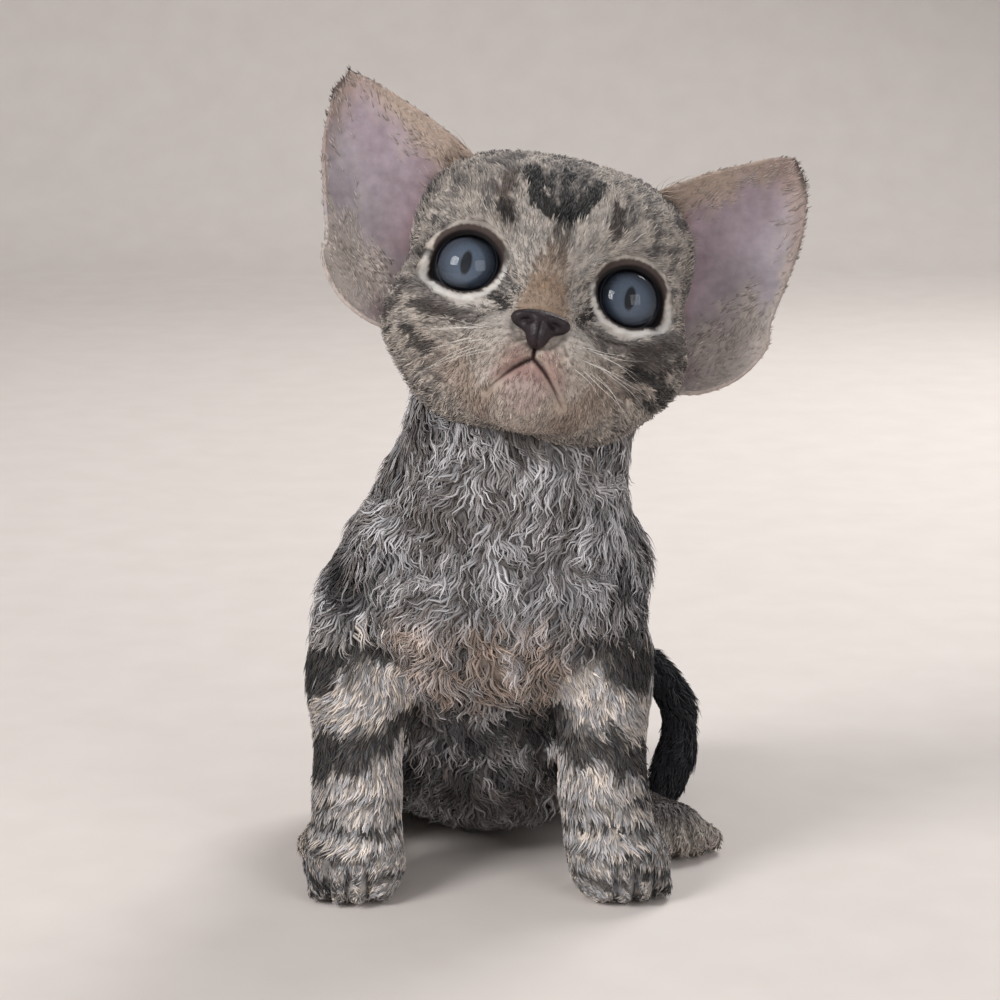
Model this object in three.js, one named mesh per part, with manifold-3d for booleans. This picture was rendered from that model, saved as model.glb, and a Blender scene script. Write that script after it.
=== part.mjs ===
// A Devon Rex kitten of about seven weeks, sitting up with its head tilted, life size, in millimetres.
// It faces -Y, its left side is +X, +Z is up and the floor is at Z = 0.
import * as THREE from "three";
import { mergeVertices } from "three/addons/utils/BufferGeometryUtils.js";
import Module from "manifold-3d";

const wasm = await Module();
wasm.setup();

// Driving dimensions
const SEAM = 0.3;
const FLOOR = 0;
const LEFT = 1;
const RIGHT = -1;

// The head has a frame of its own: its origin lies midway between the eyeballs, -Y is out of the face.
const HEAD = { place: [13.2, -21.5, 123.7], pitch: 25, roll: 12.2, yaw: -1.5 };
const EYE = { spacing: 30.2, radius: 7.7, cornea: 6.2, bulge: 2.1, outwards: 13, opening: 6.5, height: 6.0 };
const LID = { thickness: 1.25, setBack: 4.3 };
const NOSE = { height: -13.6, forward: -17.6, width: 5.7, depth: 2.9 };
const MOUTH = { top: -19.3, corner: [7.3, -26.2], groove: 0.55 };
const EAR = { thickness: 1.1, rim: 0.75, rows: 11, columns: 11, cup: 13.5, raised: { [LEFT]: 5, [RIGHT]: 0 } };
const CURL = {
  count: 73, radii: [6.6, 8.9, 2.7], depth: 1.1, sunk: 0.8, sway: 1.1, smallest: 0.85, largest: 1.15,
  below: 0.22, lowest: 9, seed: 7,
};
const GOLDEN = Math.PI * (3 - Math.sqrt(5));
const TOE = { radii: [2.7, 4.6, 3.4], count: 4, gap: 3.9, fan: 3 };

// Materials
const COLOURS = {
  silver: "#8d8480",
  belly: "#6d625c",
  face: "#b9ab9f",
  dark: "#2b2a30",
  ear: "#c2a7a6",
  eye: "#5f7893",
  nose: "#4a3a40",
};

function coat(colour, roughness = 0.9) {
  return new THREE.MeshStandardMaterial({ color: COLOURS[colour], roughness, metalness: 0 });
}

const radians = THREE.MathUtils.degToRad;

// Fields: each gives the distance of a point outside a rounded form, negative inside it

function ellipsoid(centre, radii, tilt = 0, turn = 0) {
  const [cx, cy, cz] = centre;
  const [rx, ry, rz] = radii;
  const [ct, st] = [Math.cos(radians(tilt)), Math.sin(radians(tilt))];
  const [cn, sn] = [Math.cos(radians(turn)), Math.sin(radians(turn))];
  return (x, y, z) => {
    const px = cn * (x - cx) + sn * (y - cy);
    const side = -sn * (x - cx) + cn * (y - cy);
    const py = ct * side + st * (z - cz);
    const pz = -st * side + ct * (z - cz);
    const near = Math.hypot(px / rx, py / ry, pz / rz);
    const slope = Math.hypot(px / (rx * rx), py / (ry * ry), pz / (rz * rz));
    return slope < 1e-9 ? -Math.min(rx, ry, rz) : (near * (near - 1)) / slope;
  };
}

function bone(a, b, radiusA, radiusB) {
  const [ax, ay, az] = a;
  const [bx, by, bz] = [b[0] - ax, b[1] - ay, b[2] - az];
  const span = bx * bx + by * by + bz * bz;
  return (x, y, z) => {
    const [px, py, pz] = [x - ax, y - ay, z - az];
    const t = THREE.MathUtils.clamp((px * bx + py * by + pz * bz) / span, 0, 1);
    return Math.hypot(px - t * bx, py - t * by, pz - t * bz) - (radiusA + t * (radiusB - radiusA));
  };
}

// Joins fields with a soft crease of the given width.
function melt(width, ...fields) {
  return (x, y, z) => {
    let joined = fields[0](x, y, z);
    for (let i = 1; i < fields.length; i += 1) {
      const next = fields[i](x, y, z);
      const overlap = Math.max(width - Math.abs(joined - next), 0) / width;
      joined = Math.min(joined, next) - overlap * overlap * width * 0.25;
    }
    return joined;
  };
}

// A repeatable row of numbers between 0 and 1
function seeded(seed) {
  let state = seed;
  return () => {
    state = (state * 16807) % 2147483647;
    return state / 2147483647;
  };
}

const both = (make) => [make(LEFT), make(RIGHT)];

// Distance from origin, along direction, to the outermost point where the field turns solid.
function reach(field, origin, direction, far = 75, step = 0.7) {
  const at = (t) =>
    field(origin.x + direction.x * t, origin.y + direction.y * t, origin.z + direction.z * t);
  let outside = far;
  while (outside > step && at(outside - step) > 0) outside -= step;
  let inside = Math.max(outside - step, 0);
  for (let i = 0; i < 14; i += 1) {
    const middle = (inside + outside) / 2;
    if (at(middle) > 0) outside = middle;
    else inside = middle;
  }
  return (inside + outside) / 2;
}

// The way a field grows fastest at a point, which is straight out of its surface
function outwards(field, { x, y, z }) {
  const by = 0.2;
  const slope = [
    field(x + by, y, z) - field(x - by, y, z),
    field(x, y + by, z) - field(x, y - by, z),
    field(x, y, z + by) - field(x, y, z - by),
  ];
  return new THREE.Vector3(...slope).normalize();
}

// Geometry to solid and back

function positionsOnly(geometry) {
  const bare = geometry.clone();
  bare.deleteAttribute("normal");
  bare.deleteAttribute("uv");
  return mergeVertices(bare, 1e-4);
}

function solid(geometry) {
  const merged = positionsOnly(geometry);
  const place = merged.attributes.position.array;
  const faces = [];
  let volume = 0;
  const index = merged.index.array;
  for (let i = 0; i < index.length; i += 3) {
    const [a, b, c] = [index[i], index[i + 1], index[i + 2]];
    if (a === b || b === c || a === c) continue;
    faces.push([a, b, c]);
    const [pa, pb, pc] = [a, b, c].map((k) => new THREE.Vector3().fromArray(place, 3 * k));
    volume += pa.dot(pb.cross(pc));
  }
  const wound = volume < 0 ? faces.map(([a, b, c]) => [a, c, b]) : faces;
  const mesh = new wasm.Mesh({
    numProp: 3,
    vertProperties: new Float32Array(place),
    triVerts: new Uint32Array(wound.flat()),
  });
  return new wasm.Manifold(mesh);
}

function largest(made) {
  const pieces = made.decompose();
  return pieces.reduce((best, piece) => (piece.volume() > best.volume() ? piece : best));
}

const onFloor = (made) => made.trimByPlane([0, 0, 1], FLOOR);

// Wraps a capsule or a sphere round a field: each vertex is sent out from the centre line to the surface.
function wrap(geometry, line, field, { height = 0, frontFirst = 1, grow = 0, far = 75 } = {}) {
  const place = geometry.attributes.position;
  const outer = (x, y, z) => field(x, y, z) - grow;
  const vertex = new THREE.Vector3();
  for (let i = 0; i < place.count; i += 1) {
    vertex.fromBufferAttribute(place, i);
    const along = THREE.MathUtils.clamp(vertex.y, -height / 2, height / 2);
    const frame = line(height ? along / height + 0.5 : 0);
    vertex.y -= along;
    vertex.normalize();
    const polar = Math.acos(THREE.MathUtils.clamp(vertex.y, -1, 1)) / Math.PI;
    const bent = Math.PI * polar ** frontFirst;
    const ring = Math.hypot(vertex.x, vertex.z) || 1;
    const direction = new THREE.Vector3()
      .addScaledVector(frame.along, Math.cos(bent))
      .addScaledVector(frame.side, (vertex.x / ring) * Math.sin(bent))
      .addScaledVector(frame.front, (vertex.z / ring) * Math.sin(bent));
    const distance = reach(outer, frame.origin, direction, far);
    place.setXYZ(i, ...direction.multiplyScalar(distance).add(frame.origin).toArray());
  }
  return geometry;
}

// A centre line through points, with a frame at each place that keeps its front square to a given way.
function centreLine(points, sideways = [1, 0, 0]) {
  const curve = new THREE.CatmullRomCurve3(points.map((p) => new THREE.Vector3(...p)));
  return (u) => {
    const along = curve.getTangentAt(u);
    const front = new THREE.Vector3(...sideways).cross(along).normalize();
    return { origin: curve.getPointAt(u), along, side: along.clone().cross(front).negate(), front };
  };
}

// A centre line that bends every way, with frames that turn with it and never twist.
function windingLine(points, steps = 96) {
  const curve = new THREE.CatmullRomCurve3(points.map((p) => new THREE.Vector3(...p)));
  const { tangents, normals, binormals } = curve.computeFrenetFrames(steps);
  return (u) => {
    const k = Math.round(u * steps);
    return { origin: curve.getPointAt(u), along: tangents[k], side: normals[k], front: binormals[k] };
  };
}

function centrePoint(origin, pole) {
  const along = new THREE.Vector3(...pole).normalize();
  const front = new THREE.Vector3(1, 0, 0).cross(along).normalize();
  const frame = { origin: new THREE.Vector3(...origin), along, side: along.clone().cross(front).negate(), front };
  return () => frame;
}

function limb(points, field, { around = 16, rings = 14, cap = 4, grow = 0, sideways } = {}) {
  const height = rings;
  const blank = new THREE.CapsuleGeometry(1, height, cap, around, rings);
  return solid(wrap(blank, centreLine(points, sideways), field, { height, grow }));
}

// A thin sheet over rows and columns, with both faces split into triangles alike.
function sheet(rows, columns, place, thickness) {
  const blank = new THREE.PlaneGeometry(1, 1, columns, rows);
  const uv = blank.attributes.position;
  const [front, back] = [[], []];
  for (let i = 0; i < uv.count; i += 1) {
    const [s, t] = [uv.getX(i) + 0.5, 0.5 - uv.getY(i)];
    const [low, high, before, after] = [t - 0.01, t + 0.01, s - 0.01, s + 0.01];
    const normal = place(high, s).sub(place(low, s)).cross(place(t, after).sub(place(t, before))).normalize();
    const half = thickness(t, s) / 2;
    front.push(...place(t, s).addScaledVector(normal, half).toArray());
    back.push(...place(t, s).addScaledVector(normal, -half).toArray());
  }
  const faces = Array.from(blank.index.array);
  const wide = columns + 1;
  const edge = [];
  for (let c = 0; c < columns; c += 1) edge.push(c);
  for (let r = 0; r < rows; r += 1) edge.push(r * wide + columns);
  for (let c = columns; c > 0; c -= 1) edge.push(rows * wide + c);
  for (let r = rows; r > 0; r -= 1) edge.push(r * wide);
  const count = uv.count;
  const index = [...faces];
  for (let i = 0; i < faces.length; i += 3) index.push(faces[i] + count, faces[i + 2] + count, faces[i + 1] + count);
  edge.forEach((a, i) => {
    const b = edge[(i + 1) % edge.length];
    index.push(a, b, b + count, a, b + count, a + count);
  });
  const geometry = new THREE.BufferGeometry();
  geometry.setAttribute("position", new THREE.Float32BufferAttribute([...front, ...back], 3));
  geometry.setIndex(index);
  return geometry;
}

// Head
const headFrame = new THREE.Matrix4()
  .makeTranslation(...HEAD.place)
  .multiply(new THREE.Matrix4().makeRotationY(radians(HEAD.roll)))
  .multiply(new THREE.Matrix4().makeRotationZ(radians(HEAD.yaw)))
  .multiply(new THREE.Matrix4().makeRotationX(radians(-HEAD.pitch)));

const posed = (made) => made.transform(headFrame.elements);

const skull = melt(
  7,
  ellipsoid([0, 15, 7.2], [28, 25, 24]),
  ...both((s) => ellipsoid([s * 13.5, 9, 14.5], [13, 12.5, 12])),
  ...both((s) => ellipsoid([s * 19, 8, -8.5], [11.5, 13.5, 12])),
  ...both((s) => ellipsoid([s * 15, 1.5, 0], [10.5, 7.2, 9])),
  bone([0, -1, 8.5], [0, -13, -10.5], 7.5, 4.8),
  ellipsoid([0, -6.5, -16], [13.5, 9.5, 9.5]),
  ...both((s) => bone([s * 3, -7, -23.5], [s * 13, 12, -17], 6.5, 9)),
  ellipsoid([0, 9, -14.5], [19.5, 16.5, 12.5]),
);
const face = melt(
  3,
  skull,
  ...both((s) => ellipsoid([s * 6.2, -12, -17.2], [7, 6.8, 6])),
  ellipsoid([-0.3, -10, -25], [6.8, 6, 5.4]),
);

const HEAD_CENTRE = [0, 9, -2];
const FACE_POLE = [0, -26, -14];

function headSolid(grow = 0) {
  const blank = new THREE.SphereGeometry(1, 42, 28);
  return solid(wrap(blank, centrePoint(HEAD_CENTRE, FACE_POLE), face, { frontFirst: 1.28, grow }));
}

// Where a straight line from the front meets the face.
function onFace(x, z, sunk = 0) {
  const start = new THREE.Vector3(x, 0, z);
  return new THREE.Vector3(x, -reach(face, start, new THREE.Vector3(0, -1, 0), 40) + sunk, z);
}

const eyePlace = (side) => [(side * EYE.spacing) / 2, 0, 0];

function eyeAxis(side) {
  return new THREE.Vector3(0, -1, 0).applyAxisAngle(new THREE.Vector3(0, 0, 1), radians(side * EYE.outwards));
}

function eyeField(side) {
  const globe = eyePlace(side);
  const front = eyeAxis(side).multiplyScalar(EYE.bulge).add(new THREE.Vector3(...globe)).toArray();
  return melt(0.8, ellipsoid(globe, Array(3).fill(EYE.radius)), ellipsoid(front, Array(3).fill(EYE.cornea)));
}

function eyeball(side, grow = 0) {
  const blank = new THREE.SphereGeometry(1, 18, 11);
  const centred = centrePoint(eyePlace(side), eyeAxis(side).toArray());
  return solid(wrap(blank, centred, eyeField(side), { grow }));
}

// Turns a form made round +Z so that it faces along an eye's axis.
function facing(geometry, side, distance) {
  const turn = new THREE.Quaternion().setFromUnitVectors(new THREE.Vector3(0, 0, 1), eyeAxis(side));
  geometry.translate(0, 0, distance).applyQuaternion(turn);
  return geometry.translate(...eyePlace(side));
}

function lidRing(side) {
  const ring = new THREE.TorusGeometry(1, LID.thickness / EYE.opening, 6, 26);
  ring.scale(EYE.opening, EYE.height, EYE.opening);
  return solid(facing(ring, side, LID.setBack));
}

function lidOpening(side) {
  const depth = 14;
  const flare = 1 + depth / 16;
  const cone = new THREE.CylinderGeometry(flare, 1, depth, 26).rotateX(Math.PI / 2);
  cone.scale(EYE.opening, EYE.height, 1);
  return solid(facing(cone, side, LID.setBack + depth / 2));
}

function groove(points, radius) {
  const curve = new THREE.CatmullRomCurve3(points);
  const section = new THREE.Shape().absarc(0, 0, radius, 0, 2 * Math.PI);
  const path = { extrudePath: curve, steps: 8, curveSegments: 3, bevelEnabled: false };
  return solid(new THREE.ExtrudeGeometry(section, path));
}

// The line of the mouth: down from the nose, then out and down to each corner.
function mouthLine() {
  const [cornerX, cornerZ] = MOUTH.corner;
  const philtrum = [onFace(0, NOSE.height - 2.4), onFace(0, (NOSE.height + MOUTH.top) / 2 - 1), onFace(0, MOUTH.top)];
  const lips = both((s) => {
    const steps = [0, 0.3, 0.65, 1];
    return steps.map((t) => {
      const drop = MOUTH.top + (cornerZ - MOUTH.top) * t ** 1.25;
      return onFace(s * cornerX * t, drop, 0.1);
    });
  });
  return [groove(philtrum, MOUTH.groove), ...lips.map((lip) => groove(lip, MOUTH.groove))];
}

// The nose leather, an inverted triangle with a comma of a nostril on each side.
const leather = melt(
  1.6,
  ellipsoid([0, NOSE.forward, NOSE.height + 1.2], [NOSE.width, NOSE.depth, 2.3]),
  ellipsoid([0, NOSE.forward - 0.5, NOSE.height - 1.3], [2.3, NOSE.depth, 3.4]),
);

function noseSolid(grow = 0) {
  const blank = new THREE.SphereGeometry(1, 18, 11);
  const centred = centrePoint([0, NOSE.forward, NOSE.height], [0, -1, 0]);
  const pad = solid(wrap(blank, centred, leather, { grow }));
  if (grow) return pad;
  const nostrils = both((s) => {
    const hole = new THREE.SphereGeometry(1, 8, 6).scale(1.35, 1.6, 0.75).rotateY(radians(s * 28));
    return solid(hole.translate(s * 3.1, NOSE.forward - NOSE.depth + 0.35, NOSE.height + 0.2));
  });
  return nostrils.reduce((pad_, hole) => pad_.subtract(hole), pad);
}

// Ears: a leaf between two edges, cupped backwards
const EDGES = {
  medial: [[12, 9, 17], [18, 4.5, 24], [27, 5.5, 30], [36, 8, 34.8], [43.5, 10.5, 38.4], [47.4, 12, 39.6]],
  lateral: [
    [24, 9, -13], [33, 7.5, -12.2], [40, 8, -8], [44.6, 9, -1], [44.8, 9.5, 3.5],
    [46.8, 10.2, 11], [49.6, 11.4, 23], [49.9, 12.2, 35],
  ],
};

function earSurface(side) {
  const [medial, lateral] = [EDGES.medial, EDGES.lateral].map(
    (edge) => new THREE.CatmullRomCurve3(edge.map(([x, y, z]) => new THREE.Vector3(side * x, y, z))),
  );
  return (t, s) => {
    const u = THREE.MathUtils.clamp(t, 0, 1);
    const chord = medial.getPoint(u).lerp(lateral.getPoint(u), s);
    const depth = EAR.cup * (1 - u) ** 0.95 * Math.sin(Math.PI * THREE.MathUtils.clamp(s, 0, 1)) ** 0.75;
    return chord.add(new THREE.Vector3(-side * 0.22 * depth, 0.97 * depth, (t - u) * 10));
  };
}

function earSolid(side) {
  const thin = (t, s) => {
    const rim = Math.min(s, 1 - s, 1 - t);
    return THREE.MathUtils.lerp(EAR.rim, EAR.thickness, THREE.MathUtils.clamp(rim * 5, 0, 1));
  };
  const hinge = [side * 24, 9, 4];
  const leaf = sheet(EAR.rows, EAR.columns, earSurface(side), thin).translate(...hinge.map((v) => -v));
  leaf.rotateY(radians(-side * EAR.raised[side]));
  return solid(leaf.translate(...hinge));
}

// Trunk: pelvis, belly, chest, shoulders and neck as one form
const NECK_TOP = [11, -5, 106];
const trunk = melt(
  9,
  ellipsoid([0, 33, 21], [27.5, 22, 24]),
  ellipsoid([0, 15, 34], [30.5, 25, 32]),
  ellipsoid([1.5, 0, 57], [32, 25, 26]),
  ...both((s) => ellipsoid([s * 18 + 2.5, 0, 60], [13.5, 15, 17])),
  bone([4.5, 0, 72], NECK_TOP, 25.5, 22.5),
);
const SPINE = [[0, 30, 22], [0, 21, 38], [1, 7, 58], [3, 0, 76], [7, -3, 92], NECK_TOP];
const COLLAR = { place: [3, 0, 82], lean: [0.16, -0.12, 1] };

const trunkSolid = (grow = 0) => limb(SPINE, trunk, { around: 28, rings: 16, cap: 5, grow: grow - CURL.depth });

// Curls of the coat, in a spiral up the trunk, each a rounded clump lying down along it with its root sunk in
function curls() {
  const line = centreLine(SPINE);
  const random = seeded(CURL.seed);
  const made = [];
  for (let i = 0; i < CURL.count; i += 1) {
    const u = -CURL.below + ((1 + CURL.below) * (i + 0.5)) / CURL.count;
    const { origin, along, side, front } = line(Math.max(u, 0));
    const angle = i * GOLDEN + (random() - 0.5) * 0.25;
    const out = side.clone().multiplyScalar(Math.cos(angle)).addScaledVector(front, Math.sin(angle));
    out.addScaledVector(along, 5 * Math.min(u, 0)).normalize();
    const surface = origin.clone().addScaledVector(out, reach(trunk, origin, out));
    out.copy(outwards(trunk, surface));
    const place = surface.addScaledVector(out, -CURL.depth - CURL.sunk);
    const lie = along.clone().addScaledVector(out, -along.dot(out)).normalize();
    lie.applyAxisAngle(out, (random() - 0.5) * CURL.sway);
    const across = lie.clone().cross(out);
    const size = CURL.smallest + (CURL.largest - CURL.smallest) * random();
    const clump = new THREE.IcosahedronGeometry(1, 0).scale(...CURL.radii.map((radius) => radius * size));
    if (place.z < CURL.lowest) continue;
    clump.applyMatrix4(new THREE.Matrix4().makeBasis(across, lie, out).setPosition(place));
    made.push(solid(clump));
  }
  return wasm.Manifold.union(made);
}

// A leg or a paw

// Four toes fanned out ahead of a paw
function withToes(leg, at, length, heading, grow) {
  let whole = leg;
  for (let i = 0; i < TOE.count; i += 1) {
    const spread = i - (TOE.count - 1) / 2;
    const ahead = length * (1 - 0.12 * Math.abs(spread) ** 1.5);
    const toe = new THREE.SphereGeometry(1, 8, 5).scale(...TOE.radii.map((radius) => radius + grow));
    toe.translate(spread * TOE.gap, -ahead, TOE.radii[2] - 0.5);
    toe.rotateZ(radians(heading + spread * TOE.fan)).translate(...at);
    whole = whole.add(solid(toe));
  }
  return whole;
}

const FORELEG = {
  [LEFT]: { wrist: [25.2, -14.5, 18], paw: [28.5, -19, 0], heading: 14 },
  [RIGHT]: { wrist: [-25, -14.5, 18], paw: [-25.4, -19.5, 0], heading: -4 },
};

function foreleg(side, grow = 0) {
  const { wrist, paw, heading } = FORELEG[side];
  const shoulder = [side * 22, -4, 58];
  const elbow = [side * 25, -7, 42];
  const foot = [paw[0], paw[1] - 3, 6.5];
  const field = melt(
    5,
    bone(shoulder, elbow, 11.5, 10.6),
    bone(elbow, wrist, 10.6, 9),
    bone(wrist, foot, 9, 8.4),
    ellipsoid([paw[0], paw[1] - 2, 5.5], [10.2, 10.5, 7.4], 0, heading),
  );
  const leg = limb([shoulder, elbow, wrist, foot], field, { around: 16, rings: 11, cap: 3, grow });
  return onFloor(withToes(leg, paw, 9.5, heading, grow));
}

const HINDLEG = {
  [LEFT]: { hock: [25, 37, 5.5], paw: [40, 7, 0], heading: 28 },
  [RIGHT]: { hock: [-24, 37, 5.5], paw: [-29, 5, 0], heading: -8 },
};

function hindleg(side, grow = 0) {
  const { hock, paw, heading } = HINDLEG[side];
  const hip = [side * 20, 30, 28];
  const knee = [side * 24, 4, 24];
  const thigh = melt(6, ellipsoid([side * 21, 23, 25], [12.5, 24, 20], 12), bone(knee, hock, 9.5, 5));
  const ball = [paw[0], paw[1], 4.2];
  const instep = melt(5, bone(hock, ball, 5.6, 4.4), ellipsoid([paw[0], paw[1] - 1, 4], [8, 8.5, 5.2], 0, heading));
  const upper = limb([hip, [side * 22, 18, 25], knee], thigh, { around: 13, rings: 4, cap: 4, grow });
  const lower = limb([hock, ball], instep, { around: 12, rings: 5, cap: 3, grow, sideways: [0, 0, 1] });
  return onFloor(withToes(upper.add(lower), paw, 7.4, heading, grow));
}

// Tail, in three lengths
const TAIL = [[3, 44, 14], [14, 56, 23], [28, 58, 29], [39, 52, 27], [44.4, 45.5, 20.5], [43.6, 40, 12.5], [41.2, 35.6, 6], [38.6, 32, 2.2]];
const TAIL_RADII = [7.5, 6.4, 5.2, 4.9, 4.8, 4.6, 4.0, 2.3];
const tailField = melt(2, ...TAIL.slice(1).map((joint, i) => bone(TAIL[i], joint, TAIL_RADII[i], TAIL_RADII[i + 1])));
const tailLine = windingLine(TAIL);
function tailSolid(grow = 0) {
  const blank = new THREE.CapsuleGeometry(1, 20, 3, 11, 20);
  return solid(wrap(blank, tailLine, tailField, { height: 20, far: 9, grow }));
}

function cutAcross(made, u, gap = SEAM) {
  const at = tailLine(u);
  const level = at.origin.dot(at.along);
  const ahead = at.along.toArray();
  const behind = at.along.clone().negate().toArray();
  return [made.trimByPlane(behind, -level + gap / 2), made.trimByPlane(ahead, level + gap / 2)];
}

// Assembly
const trunkBody = trunkSolid();
const trunkClear = trunkSolid(SEAM);
const headClear = posed(headSolid(SEAM));

const nodes = new Map();

function add(name, made, material) {
  nodes.set(name, { made: largest(made), material });
}

let head = headSolid();
head = both(lidOpening).reduce((made, hole) => made.subtract(hole), head);
head = both(lidRing).reduce((made, ring) => made.add(ring), head);
head = both((s) => eyeball(s, SEAM)).reduce((made, socket) => made.subtract(socket), head);
head = mouthLine().reduce((made, line) => made.subtract(line), head);
head = head.subtract(noseSolid(SEAM));
add("head", posed(head), coat("face"));
add("nose", posed(noseSolid()), coat("nose", 0.5));
for (const [side, name] of [[LEFT, "left"], [RIGHT, "right"]]) {
  add(`eye_${name}`, posed(eyeball(side)), coat("eye", 0.1));
  add(`ear_${name}`, posed(earSolid(side)).subtract(headClear), coat("ear", 0.8));
}

const lean = new THREE.Vector3(...COLLAR.lean).normalize();
const collarLevel = lean.dot(new THREE.Vector3(...COLLAR.place));
const above = trunkBody.trimByPlane(lean.toArray(), collarLevel + SEAM / 2);
const below = trunkBody.trimByPlane(lean.clone().negate().toArray(), SEAM / 2 - collarLevel);
const limbsClear = both((s) => foreleg(s, SEAM).add(hindleg(s, SEAM)));
const clumps = limbsClear.reduce((made, limbClear) => made.subtract(limbClear), curls()).subtract(tailSolid(SEAM));
const neckClumps = clumps.trimByPlane(lean.toArray(), collarLevel + SEAM / 2);
const torsoClumps = clumps.trimByPlane(lean.clone().negate().toArray(), SEAM / 2 - collarLevel);
add("neck", above.add(neckClumps).subtract(headClear), coat("silver"));
add("torso", onFloor(below.add(torsoClumps)), coat("belly"));

for (const [side, name] of [[LEFT, "left"], [RIGHT, "right"]]) {
  add(`foreleg_${name}`, foreleg(side).subtract(trunkClear), coat("silver"));
  add(`hindleg_${name}`, hindleg(side).subtract(trunkClear).subtract(foreleg(side, SEAM)), coat("belly"));
}

const [tailRoot, rest] = cutAcross(tailSolid(), 0.42);
const [tailMiddle, tailTip] = cutAcross(rest, 0.74);
const hindClear = hindleg(LEFT, SEAM);
add("tail_root", tailRoot.subtract(trunkClear).subtract(hindClear), coat("dark"));
add("tail_middle", tailMiddle.subtract(hindClear), coat("dark"));
add("tail_tip", onFloor(tailTip).subtract(hindClear), coat("dark"));

// The part's origin is below the middle of the whole, on the floor.
function middle(solids) {
  const boxes = solids.map((made) => made.boundingBox());
  return [0, 1].map((axis) => {
    const low = Math.min(...boxes.map((box) => box.min[axis]));
    const high = Math.max(...boxes.map((box) => box.max[axis]));
    return (low + high) / 2;
  });
}

function toMesh(name, made, material) {
  const found = made.getMesh();
  const geometry = new THREE.BufferGeometry();
  geometry.setAttribute("position", new THREE.BufferAttribute(found.vertProperties, 3));
  geometry.setIndex(new THREE.BufferAttribute(found.triVerts, 1));
  geometry.computeVertexNormals();
  const mesh = new THREE.Mesh(geometry, material);
  mesh.name = name;
  return mesh;
}

const kitten = new THREE.Group();
kitten.name = "devon_rex_kitten";
const [centreX, centreY] = middle([...nodes.values()].map((node) => node.made));
for (const [name, { made, material }] of nodes) {
  kitten.add(toMesh(name, made.translate([-centreX, -centreY, 0]), material));
}

export default kitten;
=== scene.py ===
import logging
import math
from dataclasses import dataclass, field
from enum import Enum
from functools import cache
from typing import Callable

import bmesh
import bpy
import numpy as np
from mathutils import Matrix, Vector
from mathutils.kdtree import KDTree


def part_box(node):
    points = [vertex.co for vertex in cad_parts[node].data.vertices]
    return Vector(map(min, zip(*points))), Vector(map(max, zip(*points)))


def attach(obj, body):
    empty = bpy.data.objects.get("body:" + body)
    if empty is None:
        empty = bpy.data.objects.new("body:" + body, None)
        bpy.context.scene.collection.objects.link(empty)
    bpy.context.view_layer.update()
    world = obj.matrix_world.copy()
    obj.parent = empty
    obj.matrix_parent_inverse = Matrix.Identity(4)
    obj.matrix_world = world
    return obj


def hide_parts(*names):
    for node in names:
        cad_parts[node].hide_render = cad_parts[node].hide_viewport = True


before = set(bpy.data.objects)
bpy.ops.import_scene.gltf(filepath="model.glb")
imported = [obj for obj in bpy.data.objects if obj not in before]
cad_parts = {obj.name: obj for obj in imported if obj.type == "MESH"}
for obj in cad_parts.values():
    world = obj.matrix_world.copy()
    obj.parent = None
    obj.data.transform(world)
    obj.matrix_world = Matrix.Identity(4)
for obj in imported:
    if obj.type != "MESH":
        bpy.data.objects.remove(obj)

logging.basicConfig(level=logging.INFO, format="%(message)s")
log = logging.getLogger("kitten")

Array = np.ndarray
Field = Callable[[Array], Array]

# Everything below is worked out in millimetres in the design frame and turned to metres at the end.
MM = 0.001
SEED = 20
LEFT, RIGHT = 1, -1
SIDES = ((LEFT, "left"), (RIGHT, "right"))

# Driving sizes, the same as the part's own
HEAD_PLACE = np.array([13.2, -21.5, 123.7])
HEAD_PITCH, HEAD_ROLL, HEAD_YAW = 25.0, 12.2, -1.5
EYE_OUT, EYE_RADIUS, EYE_TURN = 15.1, 7.7, 13.0
OPENING = np.array([6.5, 6.0])
CORNEA_RADIUS, CORNEA_FRONT, LIMBUS = 6.87, 8.3, 5.9
NOSE_CENTRE = np.array([0.0, -17.6, -13.6])
EAR_CUP, EAR_RAISED = 13.5, {LEFT: 5.0, RIGHT: 0.0}
# The mouth: where its line parts below the nose, how far each half reaches out and how far it falls
MOUTH_TOP, MOUTH_HALF, MOUTH_FALL, MOUTH_BEND = -19.3, 7.3, 6.9, 1.25
# How far the skin and the coat stay above the floor
FLOOR_GAP = 0.05
# The point of the muzzle that the hair of the head lies away from
PARTING = np.array([0.0, -17.0, -12.0])
TAIL = np.array(
    [[3, 44, 14], [14, 56, 23], [28, 58, 29], [39, 52, 27], [44.4, 45.5, 20.5], [43.6, 40, 12.5],
     [41.2, 35.6, 6], [38.6, 32, 2.2]], float)

FLESH = ("head", "neck", "torso", "foreleg_left", "foreleg_right", "hindleg_left", "hindleg_right",
         "ear_left", "ear_right", "tail_root", "tail_middle", "tail_tip")
BODY = tuple(name for name in FLESH if not name.startswith(("head", "ear")))


# ---------------- colours


class Tone(Enum):
    """The coat's and the skin's colours, as sRGB hex."""

    SILVER = "a19fa1"
    PALE = "bbb0a6"
    CREAM = "d6ccc3"
    WHITE = "f3eee8"
    GREY = "77706d"
    BROWN = "64564d"
    TAN = "a2866e"
    BLACK = "151314"
    UMBER = "433834"
    PINK = "b18c87"
    WARM = "ae9888"
    EAR_SKIN = "95878e"
    EAR_DEEP = "967077"
    PEACH = "967e74"
    TAIL = "22232b"
    LID = "1f1819"
    LIP = "36191b"


def linear(code: str) -> Array:
    """Turns an sRGB colour of six hex digits into three linear values from 0 to 1."""
    srgb = np.array([int(code[i:i + 2], 16) for i in (0, 2, 4)]) / 255
    return np.where(srgb <= 0.04045, srgb / 12.92, ((srgb + 0.055) / 1.055) ** 2.4)


def tone(name: Tone) -> Array:
    """The linear colour of a tone."""
    return linear(name.value)


# ---------------- fields


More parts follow.
